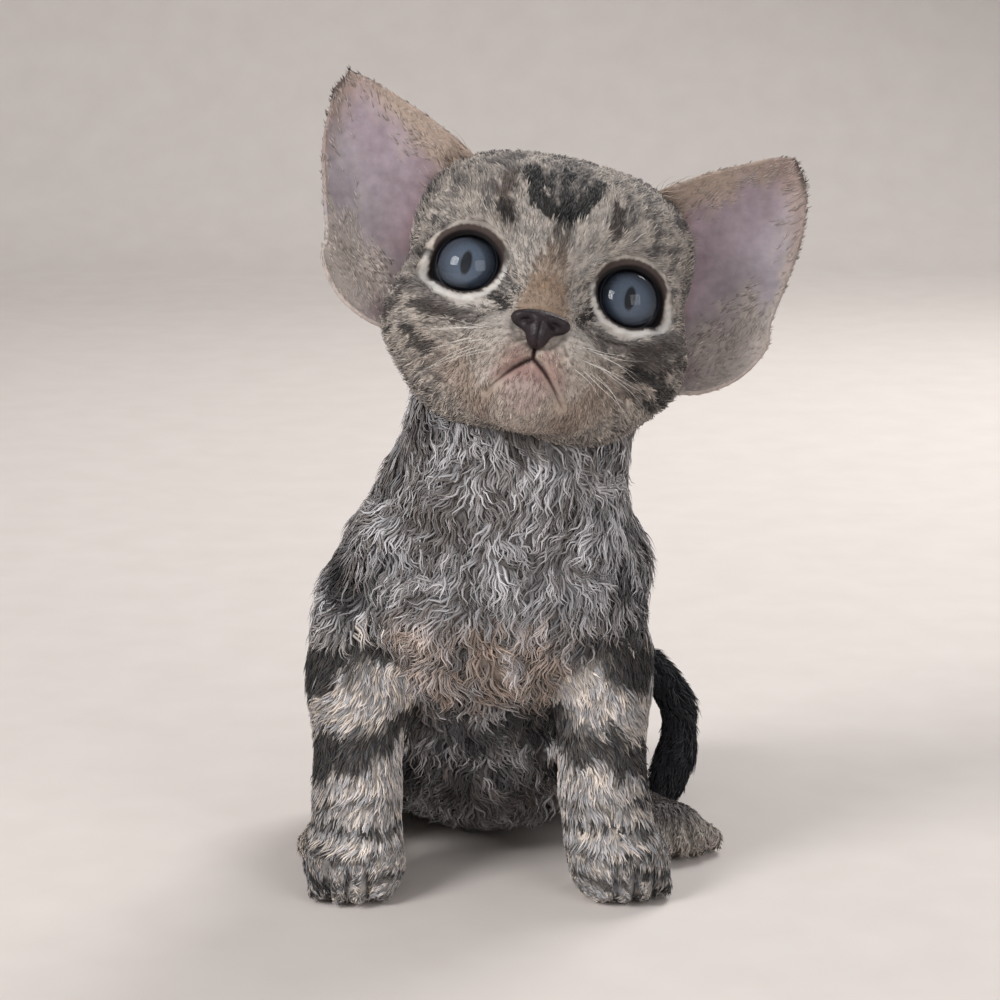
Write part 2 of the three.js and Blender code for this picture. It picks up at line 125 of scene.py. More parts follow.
def ellipsoid(centre: tuple, radii: tuple) -> Field:
    """A rounded form.

    Args:
        centre: its middle.
        radii: its half sizes.

    Returns:
        A field that is negative inside it.
    """
    middle, size = np.array(centre, float), np.array(radii, float)

    def at(points: Array) -> Array:
        scaled = (points - middle) / size
        near = np.linalg.norm(scaled, axis=-1)
        slope = np.linalg.norm(scaled / size, axis=-1)
        return near * (near - 1) / np.maximum(slope, 1e-9)

    return at


def bone(start: tuple, end: tuple, first: float, last: float) -> Field:
    """A round bar between two points.

    Args:
        start: the middle of its first end.
        end: the middle of its second end.
        first: its radius at the first end.
        last: its radius at the second end.

    Returns:
        The field, negative inside.
    """
    a, b = np.array(start, float), np.array(end, float)

    def at(points: Array) -> Array:
        along = np.clip((points - a) @ (b - a) / ((b - a) @ (b - a)), 0, 1)
        away = np.linalg.norm(points - a - along[..., None] * (b - a), axis=-1)
        return away - (first + along * (last - first))

    return at


def melt(width: float, *fields: Field) -> Field:
    """Joins fields with a soft crease.

    Args:
        width: how wide the crease is, in millimetres.
        fields: the fields to join.

    Returns:
        The field of them all.
    """

    def at(points: Array) -> Array:
        whole = fields[0](points)
        for one in fields[1:]:
            other = one(points)
            overlap = np.maximum(width - np.abs(whole - other), 0) / width
            whole = np.minimum(whole, other) - overlap * overlap * width * 0.25
        return whole

    return at


def both(make: Callable[[int], Field]) -> tuple:
    """The left and the right one of a form."""
    return make(LEFT), make(RIGHT)


def reach(form: Field, origins: Array, ways: Array, far: float, step: float = 0.9) -> Array:
    """Finds how far out the surface of a form lies along rays.

    Args:
        form: the field whose surface is looked for.
        origins: where the rays start.
        ways: their unit directions.
        far: how far out the search begins.
        step: its first step inwards.

    Returns:
        The distance of the outermost surface point from each origin.
    """
    outside = np.full(len(ways), float(far))
    going = np.arange(len(ways))
    while len(going):
        trial = outside[going] - step
        hit = form(origins[going] + ways[going] * trial[:, None]) <= 0
        outside[going[~hit]] -= step
        going = going[~hit & (outside[going] > step)]
    inside = np.maximum(outside - step, 0)
    for _ in range(9):
        middle = (inside + outside) / 2
        empty = form(origins + ways * middle[:, None]) > 0
        outside, inside = np.where(empty, middle, outside), np.where(empty, inside, middle)
    return (inside + outside) / 2


def slopes(form: Field, points: Array, by: float = 0.15) -> Array:
    """Outward directions of a form at points."""
    found = np.stack([form(points + step) - form(points - step) for step in np.eye(3) * by], axis=1)
    return found / np.linalg.norm(found, axis=1)[:, None]


SKULL = melt(
    7,
    ellipsoid((0, 15, 7.2), (28, 25, 24)),
    *both(lambda s: ellipsoid((s * 13.5, 9, 14.5), (13, 12.5, 12))),
    *both(lambda s: ellipsoid((s * 19, 8, -8.5), (11.5, 13.5, 12))),
    *both(lambda s: ellipsoid((s * 15, 1.5, 0), (10.5, 7.2, 9))),
    bone((0, -1, 8.5), (0, -13, -10.5), 7.5, 4.8),
    ellipsoid((0, -6.5, -16), (13.5, 9.5, 9.5)),
    *both(lambda s: bone((s * 3, -7, -23.5), (s * 13, 12, -17), 6.5, 9)),
    ellipsoid((0, 9, -14.5), (19.5, 16.5, 12.5)),
)
FACE = melt(
    3,
    SKULL,
    *both(lambda s: ellipsoid((s * 6.2, -12, -17.2), (7, 6.8, 6))),
    ellipsoid((-0.3, -10, -25), (6.8, 6, 5.4)),
)
LEATHER = melt(1.6, ellipsoid((0, -17.6, -12.4), (5.7, 2.9, 2.3)),
               ellipsoid((0, -18.1, -14.8), (2.3, 2.9, 2.9)))


# ---------------- frames


def turn(axis: str, degrees: float) -> Array:
    """A rotation matrix about an axis."""
    return np.array(Matrix.Rotation(math.radians(degrees), 3, axis))


HEAD_TURN = turn("Y", HEAD_ROLL) @ turn("Z", HEAD_YAW) @ turn("X", -HEAD_PITCH)


def eye_shift() -> Array:
    """Finds where the design frame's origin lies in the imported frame, from the eyeballs.

    Returns:
        The shift from design places to packed places, in millimetres.
    """
    middles = []
    for name in ("eye_left", "eye_right"):
        low, high = (np.array(corner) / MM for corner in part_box(name))
        middles.append([(low[0] + high[0]) / 2, high[1] - EYE_RADIUS, (low[2] + high[2]) / 2])
    found = np.mean(middles, axis=0) - HEAD_PLACE
    return np.array([found[0], found[1], 0.0])


SHIFT = eye_shift()


def head_to_design(points: Array) -> Array:
    """From the head's own frame to the design frame."""
    return points @ HEAD_TURN.T + HEAD_PLACE


def metres(points: Array) -> Array:
    """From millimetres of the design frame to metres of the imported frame."""
    return (points + SHIFT) * MM


def design_to_head(points: Array) -> Array:
    """From the design frame to the head's own frame."""
    return (points - HEAD_PLACE) @ HEAD_TURN


def eye_frame(side: int) -> tuple:
    """Places one eye in the head's frame.

    Args:
        side: LEFT or RIGHT.

    Returns:
        The middle of the eyeball, its axis, its outward direction and its upward direction.
    """
    bend = math.radians(EYE_TURN) * side
    axis = np.array([math.sin(bend), -math.cos(bend), 0.0])
    up = np.array([0.0, 0.0, 1.0])
    return np.array([side * EYE_OUT, 0.0, 0.0]), axis, side * np.cross(up, axis) * -1, up


def smoothstep(low: float, high: float, value: Array) -> Array:
    """Rises smoothly from 0 at low to 1 at high."""
    t = np.clip((value - low) / (high - low), 0, 1)
    return t * t * (3 - 2 * t)


def unit(vectors: Array) -> Array:
    """Vectors of length 1 that point the same ways."""
    return vectors / np.maximum(np.linalg.norm(vectors, axis=-1, keepdims=True), 1e-9)


def along_skin(vectors: Array, normals: Array) -> Array:
    """What remains of vectors once their share along the normals is taken off."""
    return vectors - np.einsum("ij,ij->i", vectors, normals)[:, None] * normals


class Ripple:
    """A smooth repeatable noise made of waves in random directions."""

    def __init__(self, size: float, seed: int, waves: int = 14) -> None:
        """Draws the waves.

        Args:
            size: rough size of the patches, in millimetres.
            seed: which pattern it is.
            waves: how many waves it is made of.
        """
        rng = np.random.default_rng(seed)
        ways = rng.normal(size=(waves, 3))
        self.ways = unit(ways) * rng.uniform(0.6, 1.6, (waves, 1)) * 2 * np.pi / size
        self.phases = rng.uniform(0, 2 * np.pi, waves)

    def __call__(self, points: Array) -> Array:
        """Values mostly between -1 and 1 at points."""
        return np.sin(points @ self.ways.T + self.phases).sum(axis=1) / math.sqrt(len(self.phases) / 2) * 0.7


# ---------------- markings


SPOTS = Ripple(9.0, 3)
FLECKS = Ripple(2.2, 5)
SWIRL = Ripple(15.0, 11)
FINE = Ripple(1.1, 12)
STREAKS = Ripple(1.7, 17)
PATCHES = Ripple(24.0, 19)
LOCKS = Ripple(13.0, 31)
WAVES = Ripple(7.0, 37)


def hair_streaks(places: Array) -> Array:
    """Streaks that run with the hair of the face, away from the nose.

    Args:
        places: places in the head's frame.

    Returns:
        Values mostly between -1 and 1.
    """
    from_nose = places - (0, -12, -12)
    away = np.linalg.norm(from_nose, axis=1)[:, None]
    along = from_nose / away * 18 + away * (0.2, 0.16, 0.12)
    return 0.8 * STREAKS(along) + 0.5 * STREAKS(along * 2.1)


@dataclass(frozen=True)
class Stroke:
    """A painted marking: a line of points with a half width at each end, in millimetres.

    Args:
        points: the line's points.
        tint: its colour.
        widths: half width at its start and at its end.
        strength: how far it covers the coat, from 0 to 1.
        soft: how wide its edge is.
    """

    points: tuple
    tint: Tone
    widths: tuple
    strength: float = 0.9
    soft: float = 1.0

    def line(self) -> Array:
        """Lays the stroke on the face.

        Returns:
            Evenly spaced points along it.
        """
        marks = np.array(self.points, float)
        steps = np.linspace(0, len(marks) - 1, 10)
        low = np.minimum(steps.astype(int), len(marks) - 2)
        line = marks[low] + (steps - low)[:, None] * (marks[low + 1] - marks[low])
        for _ in range(3):
            line = line - slopes(FACE, line) * FACE(line)[:, None]
        return line

    def paint(self, places: Array, colours: Array) -> Array:
        """Lays the stroke over the colours at places, with an edge as uneven as hair makes it.

        Args:
            places: places in the head's frame.
            colours: their colours so far.

        Returns:
            The colours with the stroke on them.
        """
        line = self.line()
        reach_out = max(self.widths) + self.soft + 1.0
        low, high = line.min(axis=0) - reach_out, line.max(axis=0) + reach_out
        close = np.flatnonzero(np.all((places > low) & (places < high), axis=1))
        if not len(close):
            return colours
        near, laid = places[close], np.zeros(len(close))
        rough = min(self.soft, 1.2) * (0.22 * (FLECKS(near) + FINE(near)) + 0.42 * hair_streaks(near))
        for i, (a, b) in enumerate(zip(line[:-1], line[1:])):
            t = np.clip((near - a) @ (b - a) / ((b - a) @ (b - a)), 0, 1)
            away = np.linalg.norm(near - a - t[:, None] * (b - a), axis=1)
            width = self.widths[0] + (self.widths[1] - self.widths[0]) * (i + t) / (len(line) - 1)
            laid = np.maximum(laid, 1 - smoothstep(0, self.soft, away - width + rough))
        painted = colours.copy()
        painted[close] = cover(colours[close], tone(self.tint), laid * self.strength)
        return painted


# Strokes on the face, in the head's frame. The left cheek and brow differ a little from the right ones.
FACE_STROKES = (
    Stroke(((-0.2, -16.7, -6.7), (0, -17, -9)), Tone.TAN, (4.2, 4.6), 0.75, 2.4),
    Stroke(((0.5, -12.9, 2), (0, -14.5, -2)), Tone.TAN, (1.8, 3.0), 0.55, 2.5),
    Stroke(((-5, -9, 3), (-4, -8.6, 9), (-6, -7, 13)), Tone.CREAM, (2.2, 1.6), 0.55, 2.0),
    Stroke(((5, -9, 3), (5, -8.6, 9), (7.5, -6, 14)), Tone.CREAM, (2.2, 1.6), 0.55, 2.0),
    Stroke(((0, -4, 22), (0.2, -9, 16.5), (0.4, -10.6, 12)), Tone.GREY, (4.6, 1.2), 0.6, 1.4),
    Stroke(((-7.6, -4.7, 21.2), (-4.7, -9.1, 13.9), (-1.8, -10.4, 11.9)), Tone.BLACK, (1.5, 1.6), 0.95, 0.8),
    Stroke(((-0.6, -3, 23.8), (0, -8.6, 16.5), (0.3, -10.5, 11.9)), Tone.BLACK, (0.7, 1.3), 0.9, 0.8),
    Stroke(((6.6, -3.9, 22.4), (4.3, -8.3, 16.3), (2, -10.4, 11.9)), Tone.BLACK, (1.0, 1.5), 0.95, 0.8),
    Stroke(((-3.6, -3.5, 23), (-3, -8, 16.5)), Tone.BLACK, (0.5, 0.5), 0.7, 0.7),
    Stroke(((3, -3, 23), (2.6, -7.6, 17.5)), Tone.BLACK, (0.5, 0.5), 0.7, 0.7),
    Stroke(((0.4, -10.8, 11.5), (1.5, -11, 9.4)), Tone.BLACK, (1.4, 0.4), 0.75, 1.0),
    Stroke(((0.4, -11.6, 7.4), (1.2, -12.2, 5), (0.6, -12.9, 1.9)), Tone.BROWN, (0.8, 0.7), 0.6, 1.0),
    Stroke(((-11.5, -5.2, 19.1), (-12, -7, 13.9), (-10, -8.5, 8.9)), Tone.BROWN, (1.0, 1.1), 0.8, 0.9),
    Stroke(((-11.8, -7.2, 13), (-10, -8.5, 8.6)), Tone.BLACK, (0.5, 0.9), 0.8, 0.8),
    Stroke(((10.9, -6.5, 16.6), (10.6, -7.7, 12.9), (10.8, -8.1, 10.1)), Tone.UMBER, (1.0, 0.8), 0.9, 0.9),
    Stroke(((-26, -1, 1.5), (-23.8, -4, 0.4)), Tone.BLACK, (1.1, 0.8), 0.85, 0.8),
    Stroke(((26.5, -0.1, 2.7), (28.3, 0.5, -3.5)), Tone.UMBER, (0.5, 0.8), 0.7, 0.9),
    Stroke(((-24.4, -4.2, -5.2), (-18.9, -6.1, -9.4), (-12.2, -8.5, -11)), Tone.GREY, (2.4, 1.2), 0.8, 1.5),
    Stroke(((-24, -3.6, -9.5), (-17, -6, -11.6), (-10.9, -10, -10.6)), Tone.UMBER, (0.9, 0.6), 0.8, 1.0),
    Stroke(((-27, -0.6, -5), (-28, 1, -9), (-29, 3.2, -12)), Tone.UMBER, (0.9, 1.0), 0.7, 1.1),
    Stroke(((-24.3, -0.8, -14.6), (-20.8, -1.5, -17.7)), Tone.BLACK, (1.1, 1.4), 0.75, 1.2),
    Stroke(((-12.8, -10, -12.7), (-9.4, -15, -13.4)), Tone.UMBER, (0.6, 0.5), 0.7, 0.8),
    Stroke(((13.1, -7.1, -9), (19.8, -5.9, -9.6), (27.1, -1.6, -6)), Tone.GREY, (2.4, 2.2), 0.85, 1.5),
    Stroke(((12.4, -8.4, -9.4), (19, -6, -10.4), (27.5, -1.4, -6.4)), Tone.UMBER, (0.6, 0.8), 0.8, 0.9),
    Stroke(((16.2, -6, -12.1), (22.6, -4.3, -12.4), (29.2, 2.6, -8)), Tone.UMBER, (0.6, 1.0), 0.75, 1.0),
    Stroke(((19.1, -4.6, -14.3), (25.4, -0.9, -14.8), (27.9, 4, -17)), Tone.BLACK, (0.8, 1.9), 0.9, 1.0),
    Stroke(((21.4, -0.6, -18), (26, 3, -19)), Tone.BLACK, (0.7, 1.2), 0.8, 1.0),
    Stroke(((-24.2, -3.8, -1.6), (-20.4, -5.8, -6.6), (-15.7, -6.5, -8.1), (-10.5, -8.3, -7)), Tone.CREAM,
           (1.0, 0.8), 0.95, 0.7),
    Stroke(((11, -7.5, -6.4), (15.2, -6.6, -8), (20.2, -6, -6.9), (23.9, -4.1, -1.5)), Tone.CREAM,
           (0.9, 1.0), 0.95, 0.7),
    Stroke(((-20, -6, 6.6), (-15, -7, 8.4), (-10, -8, 6.4)), Tone.PALE, (1.0, 1.0), 0.6, 1.2),
    Stroke(((20, -6, 6.6), (15, -7, 8.4), (10, -8, 6.4)), Tone.PALE, (1.0, 1.0), 0.6, 1.2),
    # The three LID strokes from the inner corners of the eyes towards the nose are dark tear lines of the
    # coat, deepened as painted shade in the hollows beside the nose bridge.
    Stroke(((-10.8, -8.4, -5.2), (-8.2, -10, -7), (-6.4, -13, -9.6)), Tone.LID, (0.9, 0.9), 0.95, 0.8),
    Stroke(((-7.4, -11, -6.6), (-5.4, -13, -4.4)), Tone.LID, (0.6, 0.2), 0.7, 0.8),
    Stroke(((10.4, -8.4, -5.2), (8.6, -9.6, -6.6), (7, -13, -9.8)), Tone.LID, (0.9, 0.9), 0.95, 0.8),
    Stroke(((-8, -15.5, -15.5), (-9, -14, -20)), Tone.CREAM, (3.4, 3.2), 0.6, 2.5),
    Stroke(((8, -15.5, -15.5), (9, -14, -20)), Tone.CREAM, (3.4, 3.2), 0.6, 2.5),
    Stroke(((-3.0, -17.4, -18.6), (-5.4, -15.6, -22.6)), Tone.PINK, (1.0, 1.2), 0.45, 1.4),
    Stroke(((3.0, -17.4, -18.6), (5.4, -15.4, -22.6)), Tone.PINK, (1.0, 1.2), 0.45, 1.4),
    Stroke(((0, -16, -23.4), (0, -15, -25.5)), Tone.PINK, (2.6, 3.4), 0.7, 1.6),
    Stroke(((0, -13.6, -28), (0, -8, -31)), Tone.CREAM, (4.4, 5.4), 0.4, 3.0),
)


def mouth_lines() -> list:
    """Draws the mouth: down from the nose, then out and down to each corner.

    Returns:
        The points of its three lines in the head's frame.
    """

    def on_face(points: list) -> Array:
        """Lays points seen from the front on the face."""
        flat = np.array([[x, 0.0, z] for x, z in points])
        ways = np.tile([0.0, -1.0, 0.0], (len(flat), 1))
        flat[:, 1] = -reach(FACE, flat, ways, 40)
        return flat

    lines = [on_face([(0, z) for z in np.linspace(-16.0, MOUTH_TOP, 14)])]
    for side, _ in SIDES:
        steps = np.linspace(0, 1, 40)
        half = [(side * MOUTH_HALF * t, MOUTH_TOP - MOUTH_FALL * t ** MOUTH_BEND) for t in steps]
        lines.append(on_face(half))
    return lines


MOUTH = mouth_lines()

# The small bumps that the whiskers grow from, in four rows on each pad of the muzzle
WHISKER_DOTS = [
    np.array([side * (5.2 + 1.9 * k), -17.8 + 0.55 * k ** 1.5, -14.6 - 1.75 * row - 0.25 * k])
    for side, _ in SIDES for row in range(4) for k in range(5)
]


def near_mouth(places: Array) -> Array:
    """Distance from the line of the mouth, as seen from the front.

    Args:
        places: places in the head's frame.

    Returns:
        Their distances in millimetres, and 99 far from the mouth.
    """
    line = np.concatenate(MOUTH) * (1, 0, 1)
    away = np.full(len(places), 99.0)
    close = np.flatnonzero((places[:, 1] < -6) & (np.abs(places[:, 0]) < 12) & (places[:, 2] < -12))
    for start in range(0, len(close), 4000):
        some = close[start:start + 4000]
        away[some] = np.linalg.norm(places[some, None] * (1, 0, 1) - line[None], axis=2).min(axis=1)
    return away


def mouth_width(places: Array) -> Array:
    """How open the line of the mouth is, from 1 below the nose to less at its corners."""
    return 1 - 0.62 * smoothstep(1.5, MOUTH_HALF, np.abs(places[:, 0]))


def eye_distance(places: Array) -> tuple:
    """How far out from the nearer eye's opening places lie.

    Args:
        places: places in the head's frame.

    Returns:
        Their distance as a ratio, 1 at the edge of the lids, and their height over the eye's middle.
    """
    ratio, height = np.full(len(places), 9.0), np.zeros(len(places))
    for side, _ in SIDES:
        middle, axis, out, up = eye_frame(side)
        local = places - middle
        a, u, v = local @ axis, local @ out, local @ up
        found = np.where(a > 0, np.hypot(u / OPENING[0], v / OPENING[1]) / opening_shape(u, v), 9.0)
        height = np.where(found < ratio, v, height)
        ratio = np.minimum(ratio, found)
    return ratio, height


def opening_shape(u: Array, v: Array) -> Array:
    """How much wider the lids open in each direction: a point towards the nose and a slight one outwards.

    Args:
        u: distances outwards from the eye's middle.
        v: distances upwards from it.

    Returns:
        The widening as a factor.
    """
    angle = np.arctan2(v, u)
    inner = np.exp(-(((angle - math.radians(205) + np.pi) % (2 * np.pi) - np.pi) / 0.3) ** 2)
    outer = np.exp(-((angle - math.radians(15)) / 0.4) ** 2)
    return 1 + 0.16 * inner + 0.04 * outer


# ---------------- the coat's colours


def cover(colours: Array, tint: Array, share: Array) -> Array:
    """Lays a tint over colours, by each place's share from 0 to 1."""
    return colours * (1 - share[:, None]) + tint * share[:, None]


def head_colours(places: Array) -> Array:
    """Colours of the head's coat.

    Args:
        places: places in the head's frame.

    Returns:
        Linear colours.
    """
    fleck = smoothstep(-1.1, 0.9, hair_streaks(places) + 0.3 * SPOTS(places))
    base = cover(tone(Tone.GREY) * 0.85, tone(Tone.PALE) * 1.22, fleck)
    base = base * (1 + 0.08 * FINE(places)[:, None])
    back = smoothstep(4, 16, places[:, 1])
    stripes = np.sin(places[:, 0] * 0.55 + SWIRL(places)) + 0.3 * FLECKS(places)
    base = cover(base, tone(Tone.UMBER), 0.75 * back * smoothstep(-0.1, 0.7, stripes))
    # The lower face and chin are warm in colour; the warm tone is raised by a fifth as painted light, where
    # less light reaches them from below.
    low = smoothstep(-12, -22, places[:, 2]) * smoothstep(4, -6, places[:, 1])
    base = cover(base, tone(Tone.WARM) * 1.2, 0.6 * low)
    for stroke in FACE_STROKES:
        base = stroke.paint(places, base)
    for dot in WHISKER_DOTS:
        away = np.linalg.norm((places - dot) * (1, 0.4, 1), axis=1)
        base = cover(base, tone(Tone.BROWN), 0.5 * (1 - smoothstep(0.25, 0.75, away)))
    away = near_mouth(places)
    width = mouth_width(places)
    base = cover(base, tone(Tone.LIP), 0.97 * width ** 0.4 * (1 - smoothstep(0.18, 0.7, away / width)))
    ratio, height = eye_distance(places)
    under = np.abs(ratio - 1.2 + 0.03 * hair_streaks(places))
    pale = 0.8 * (1 - smoothstep(0.03, 0.14, under)) * smoothstep(2.4, -2.0, height)
    base = cover(base, tone(Tone.WHITE), pale)
    # The lids' thin dark margin is their own colour; the band that widens to brown over the upper lid is
    # painted shade of the upper lid.
    rim = 1.035 + 0.185 * smoothstep(0, 5.6, height)
    lid = 1 - smoothstep(0.0, 0.08, ratio - rim + 0.015 * FINE(places))
    brown = cover(tone(Tone.LID), tone(Tone.UMBER) * 1.4, smoothstep(1.0, 1.14, ratio))
    return cover(base, brown, lid) * 0.8


def body_colours(points: Array, part: Array) -> Array:
    """Colours of the body's coat at points in the design frame.

    Args:
        points: places on the skin.
        part: the name of the node that each place belongs to.

    Returns:
        Linear colours.
    """
    x, y, z = points.T
    # lit: random pale patches, and a painted highlight on the upper chest towards +x.
    lit = 0.5 * PATCHES(points) + 0.55 * smoothstep(-4, 12, x) * smoothstep(44, 60, z)
    fleck = smoothstep(-0.8, 1.1, FLECKS(points) + 0.5 * SWIRL(points) + lit)
    base = cover(tone(Tone.GREY) * 0.75, tone(Tone.SILVER) * 1.25, fleck)
    spots = smoothstep(0.05, 0.55, SPOTS(points * (1, 1, 1.35)) + 0.25 * FLECKS(points))
    front = smoothstep(4, -10, y)
    belly = smoothstep(46, 34, z + 2 * SWIRL(points)) * front
    rungs = smoothstep(0.0, 0.6, np.sin(0.6 * z + 1.3 * SWIRL(points) + 0.4 * FLECKS(points)))
    spots = np.maximum(spots, 0.85 * rungs * belly)
    chest = smoothstep(61, 55, z + 1.5 * FLECKS(points)) * smoothstep(34, 42, z) * front
    chest = chest * smoothstep(23, 13, np.abs(x - 1))
    flank = smoothstep(8, 24, np.abs(x)) * smoothstep(76, 64, z)
    back = smoothstep(0, 14, y)
    share = 0.28 + 0.6 * belly + 0.55 * flank + 0.6 * back
    dark = np.clip(spots * share * (1 - 0.55 * chest), 0, 0.95)
    base = cover(base, tone(Tone.WARM), chest * 0.7 * smoothstep(-1.2, 0.6, SPOTS(points)))
    base = cover(base, tone(Tone.UMBER), belly * (1 - 0.9 * chest) * (0.5 + 0.2 * smoothstep(30, 14, z)))
    base = cover(base, tone(Tone.BLACK) * 1.3, dark)
    blotch = np.linalg.norm((points - (-25.5, -13, 62)) / (6.5, 9, 3.6), axis=1)
    blotch = 0.75 * (1 - smoothstep(0.7, 1.15, blotch + 0.12 * FLECKS(points)))
    base = cover(base, tone(Tone.BLACK), blotch)
    legs = np.char.startswith(part, "foreleg")
    if legs.any():
        base[legs] = foreleg_colours(points[legs], base[legs])
    feet = np.char.startswith(part, "hindleg")
    band = smoothstep(0.1, 0.6, np.sin(z * 0.5 + y * 0.25 + 0.8 * SWIRL(points)))
    hind = cover(tone(Tone.GREY), tone(Tone.UMBER), 0.8 * band)
    pale = smoothstep(9, 5, z)[:, None]
    base[feet] = (hind * (1 - 0.8 * pale) + tone(Tone.PALE) * 0.85 * pale)[feet]
    tail = np.char.startswith(part, "tail")
    rings = smoothstep(0.2, 0.8, np.sin(np.linalg.norm(points - TAIL[0], axis=1) * 0.42))[:, None]
    base[tail] = (tone(Tone.TAIL) * (0.6 + 0.8 * rings))[tail]
    return base


def foreleg_colours(points: Array, upper: Array) -> Array:
    """Colours of the forelegs: broken black bands above, pale silver with thin dark bars below, and painted
    shade on their outer sides.

    Args:
        points: places on the legs.
        upper: the trunk's colours there, which the shoulders keep.

    Returns:
        Linear colours.
    """
    x, _, z = points.T
    level = z + 1.7 * SPOTS(points) + 1.1 * FLECKS(points) + 0.36 * (np.abs(x) - 25)
    fleck = smoothstep(-0.8, 0.9, FLECKS(points) + 0.5 * FINE(points))
    base = cover(tone(Tone.SILVER) * 1.1, tone(Tone.PALE) * 1.35, fleck)
    bands = np.zeros(len(z))
    for low, high in ((27.0, 34.0), (44.5, 53.0)):
        band = smoothstep(low - 1.2, low + 0.8, level) * smoothstep(high + 1.2, high - 0.8, level)
        bands = np.maximum(bands, band)
    wedge = smoothstep(4.5, 1.5, np.abs(np.abs(x) - 22)) * smoothstep(50, 45, z) * smoothstep(32, 37, z)
    bands = bands * (1 - 0.8 * wedge) * (0.85 + 0.15 * smoothstep(-0.9, 0.1, FLECKS(points * 1.7)))
    bars = np.zeros(len(z))
    for middle, share in ((19.5, 0.7), (15.0, 0.95), (10.5, 0.8), (6.0, 0.85), (2.6, 0.6)):
        away = np.abs(z + 0.5 * SPOTS(points) - middle + 0.8 * np.sin(x * 0.35 + middle))
        bar = (1 - smoothstep(0.4, 1.3, away)) * share * smoothstep(-0.9, 0.1, FLECKS(points))
        bars = np.maximum(bars, bar)
    # Painted shade: the outer sides of the forelegs are darkened.
    side = smoothstep(26, 33, np.abs(x)) * 0.35
    base = cover(base, tone(Tone.BLACK) * 0.8, np.clip(bands * 0.93 + bars * (z < 24) + side, 0, 0.95))
    return cover(base, upper, smoothstep(53, 58, level))


def ear_margin(leaf: Array, places: Array) -> Array:
    """How furry the inside of an ear is.

    Args:
        leaf: each point's share of the way from base to tip and from inner to outer edge.
        places: places in the head's frame.

    Returns:
        From 0 on bare skin to 1 at the rim.
    """
    t, s = leaf.T
    rough = 0.05 * SWIRL(places * 1.5) + 0.03 * FLECKS(places)
    medial = smoothstep(0.30 - 0.10 * t, 0.04, s + rough)
    lateral = smoothstep(0.86, 0.99, s + rough) * 0.9
    pouch = smoothstep(0.62, 0.8, s + rough) * smoothstep(0.66, 0.5, t) * smoothstep(0.08, 0.25, t) * 0.85
    tip = smoothstep(0.70, 0.97, t + rough)
    return np.clip(np.maximum.reduce([medial, lateral, pouch, tip]), 0, 1)


def ear_colours(places: Array, inside: Array, leaf: Array) -> Array:
    """Colours of the ears in the head's frame: mauve skin inside with a furry margin, short fur outside.

    Args:
        places: points on the ears.
        inside: whether each looks out of the cup.
        leaf: each point's share of the way from base to tip and from inner to outer edge.

    Returns:
        Linear colours.
    """
    t, s = leaf.T
    deep = smoothstep(0.5, 0.1, t) * (0.5 + 0.5 * smoothstep(-0.4, 0.8, SWIRL(places * 2)))
    skin = cover(tone(Tone.EAR_SKIN), tone(Tone.EAR_DEEP), deep)
    skin = cover(skin, tone(Tone.SILVER), smoothstep(0.35, 0.7, s) * 0.35)
    veins = smoothstep(0.6, 0.95, np.sin(s * 22 + 3 * SWIRL(places * 1.6))) * smoothstep(0.75, 0.3, t)
    skin = skin * (1 - 0.12 * veins[:, None]) * (1 + 0.06 * SWIRL(places * 1.8)[:, None])
    warm = tone(Tone.TAN) * 0.55 + tone(Tone.PALE) * 0.4
    edge = cover(tone(Tone.PALE) * 0.95, warm, smoothstep(0.6, 0.3, s))
    edge = cover(edge, tone(Tone.PEACH), smoothstep(0.62, 0.9, t) * 0.8)
    skin = cover(skin, edge, 0.85 * ear_margin(leaf, places))
    skin = cover(skin, tone(Tone.UMBER), 0.8 * smoothstep(0.955, 0.98, t))
    fur = (tone(Tone.GREY) * 0.75 + tone(Tone.TAN) * 0.22) * (1 + 0.2 * FLECKS(places)[:, None])
    fur = cover(fur, tone(Tone.PALE), smoothstep(0.9, 0.97, s) * smoothstep(0.7, 0.5, t) * 0.8)
    fur = cover(fur, tone(Tone.BLACK), smoothstep(0.85, 0.95, t) * 0.8)
    return np.where(inside[:, None], skin, fur)


# ---------------- meshes


@dataclass
class Shape:
    """Corners and faces of a mesh, in millimetres of the design frame.

    Args:
        points: the corners.
        faces: the corners of each face, as many for each.
    """

    points: Array
    faces: Array

    def to_object(self, name: str) -> bpy.types.Object:
        """Makes the shape an object at the origin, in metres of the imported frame.

        Args:
            name: the object's name.

        Returns:
            The object.
        """
        mesh = bpy.data.meshes.new(name)
        count, wide = self.faces.shape
        mesh.vertices.add(len(self.points))
        mesh.vertices.foreach_set("co", metres(self.points).astype(np.float32).ravel())
        mesh.loops.add(count * wide)
        mesh.loops.foreach_set("vertex_index", self.faces.astype(np.int32).ravel())
        mesh.polygons.add(count)
        mesh.polygons.foreach_set("loop_start", np.arange(0, count * wide, wide, dtype=np.int32))
        mesh.update(calc_edges=True)
        mesh.validate()
        smooth_faces(mesh)
        return linked(name, mesh)


def read(items: bpy.types.bpy_prop_collection, key: str, wide: int = 1, kind: type = np.float32) -> Array:
    """Reads one property of every item of a mesh.

    Args:
        items: the mesh's corners, edges, triangles or values.
        key: the property.
        wide: how many numbers each item has.
        kind: their type.

    Returns:
        The numbers, a row for each item where it has several.
    """
    found = np.empty(len(items) * wide, kind)
    items.foreach_get(key, found)
    return found.reshape(-1, wide) if wide > 1 else found


def points_of(mesh: bpy.types.Mesh) -> Array:
    """A mesh's corners, in millimetres of the design frame."""
    return read(mesh.vertices, "co", 3).astype(float) / MM - SHIFT


def search_tree(points: Array) -> KDTree:
    """Sorts points for a search of the nearest one."""
    tree = KDTree(len(points))
    for i, place in enumerate(points):
        tree.insert(place, i)
    tree.balance()
    return tree


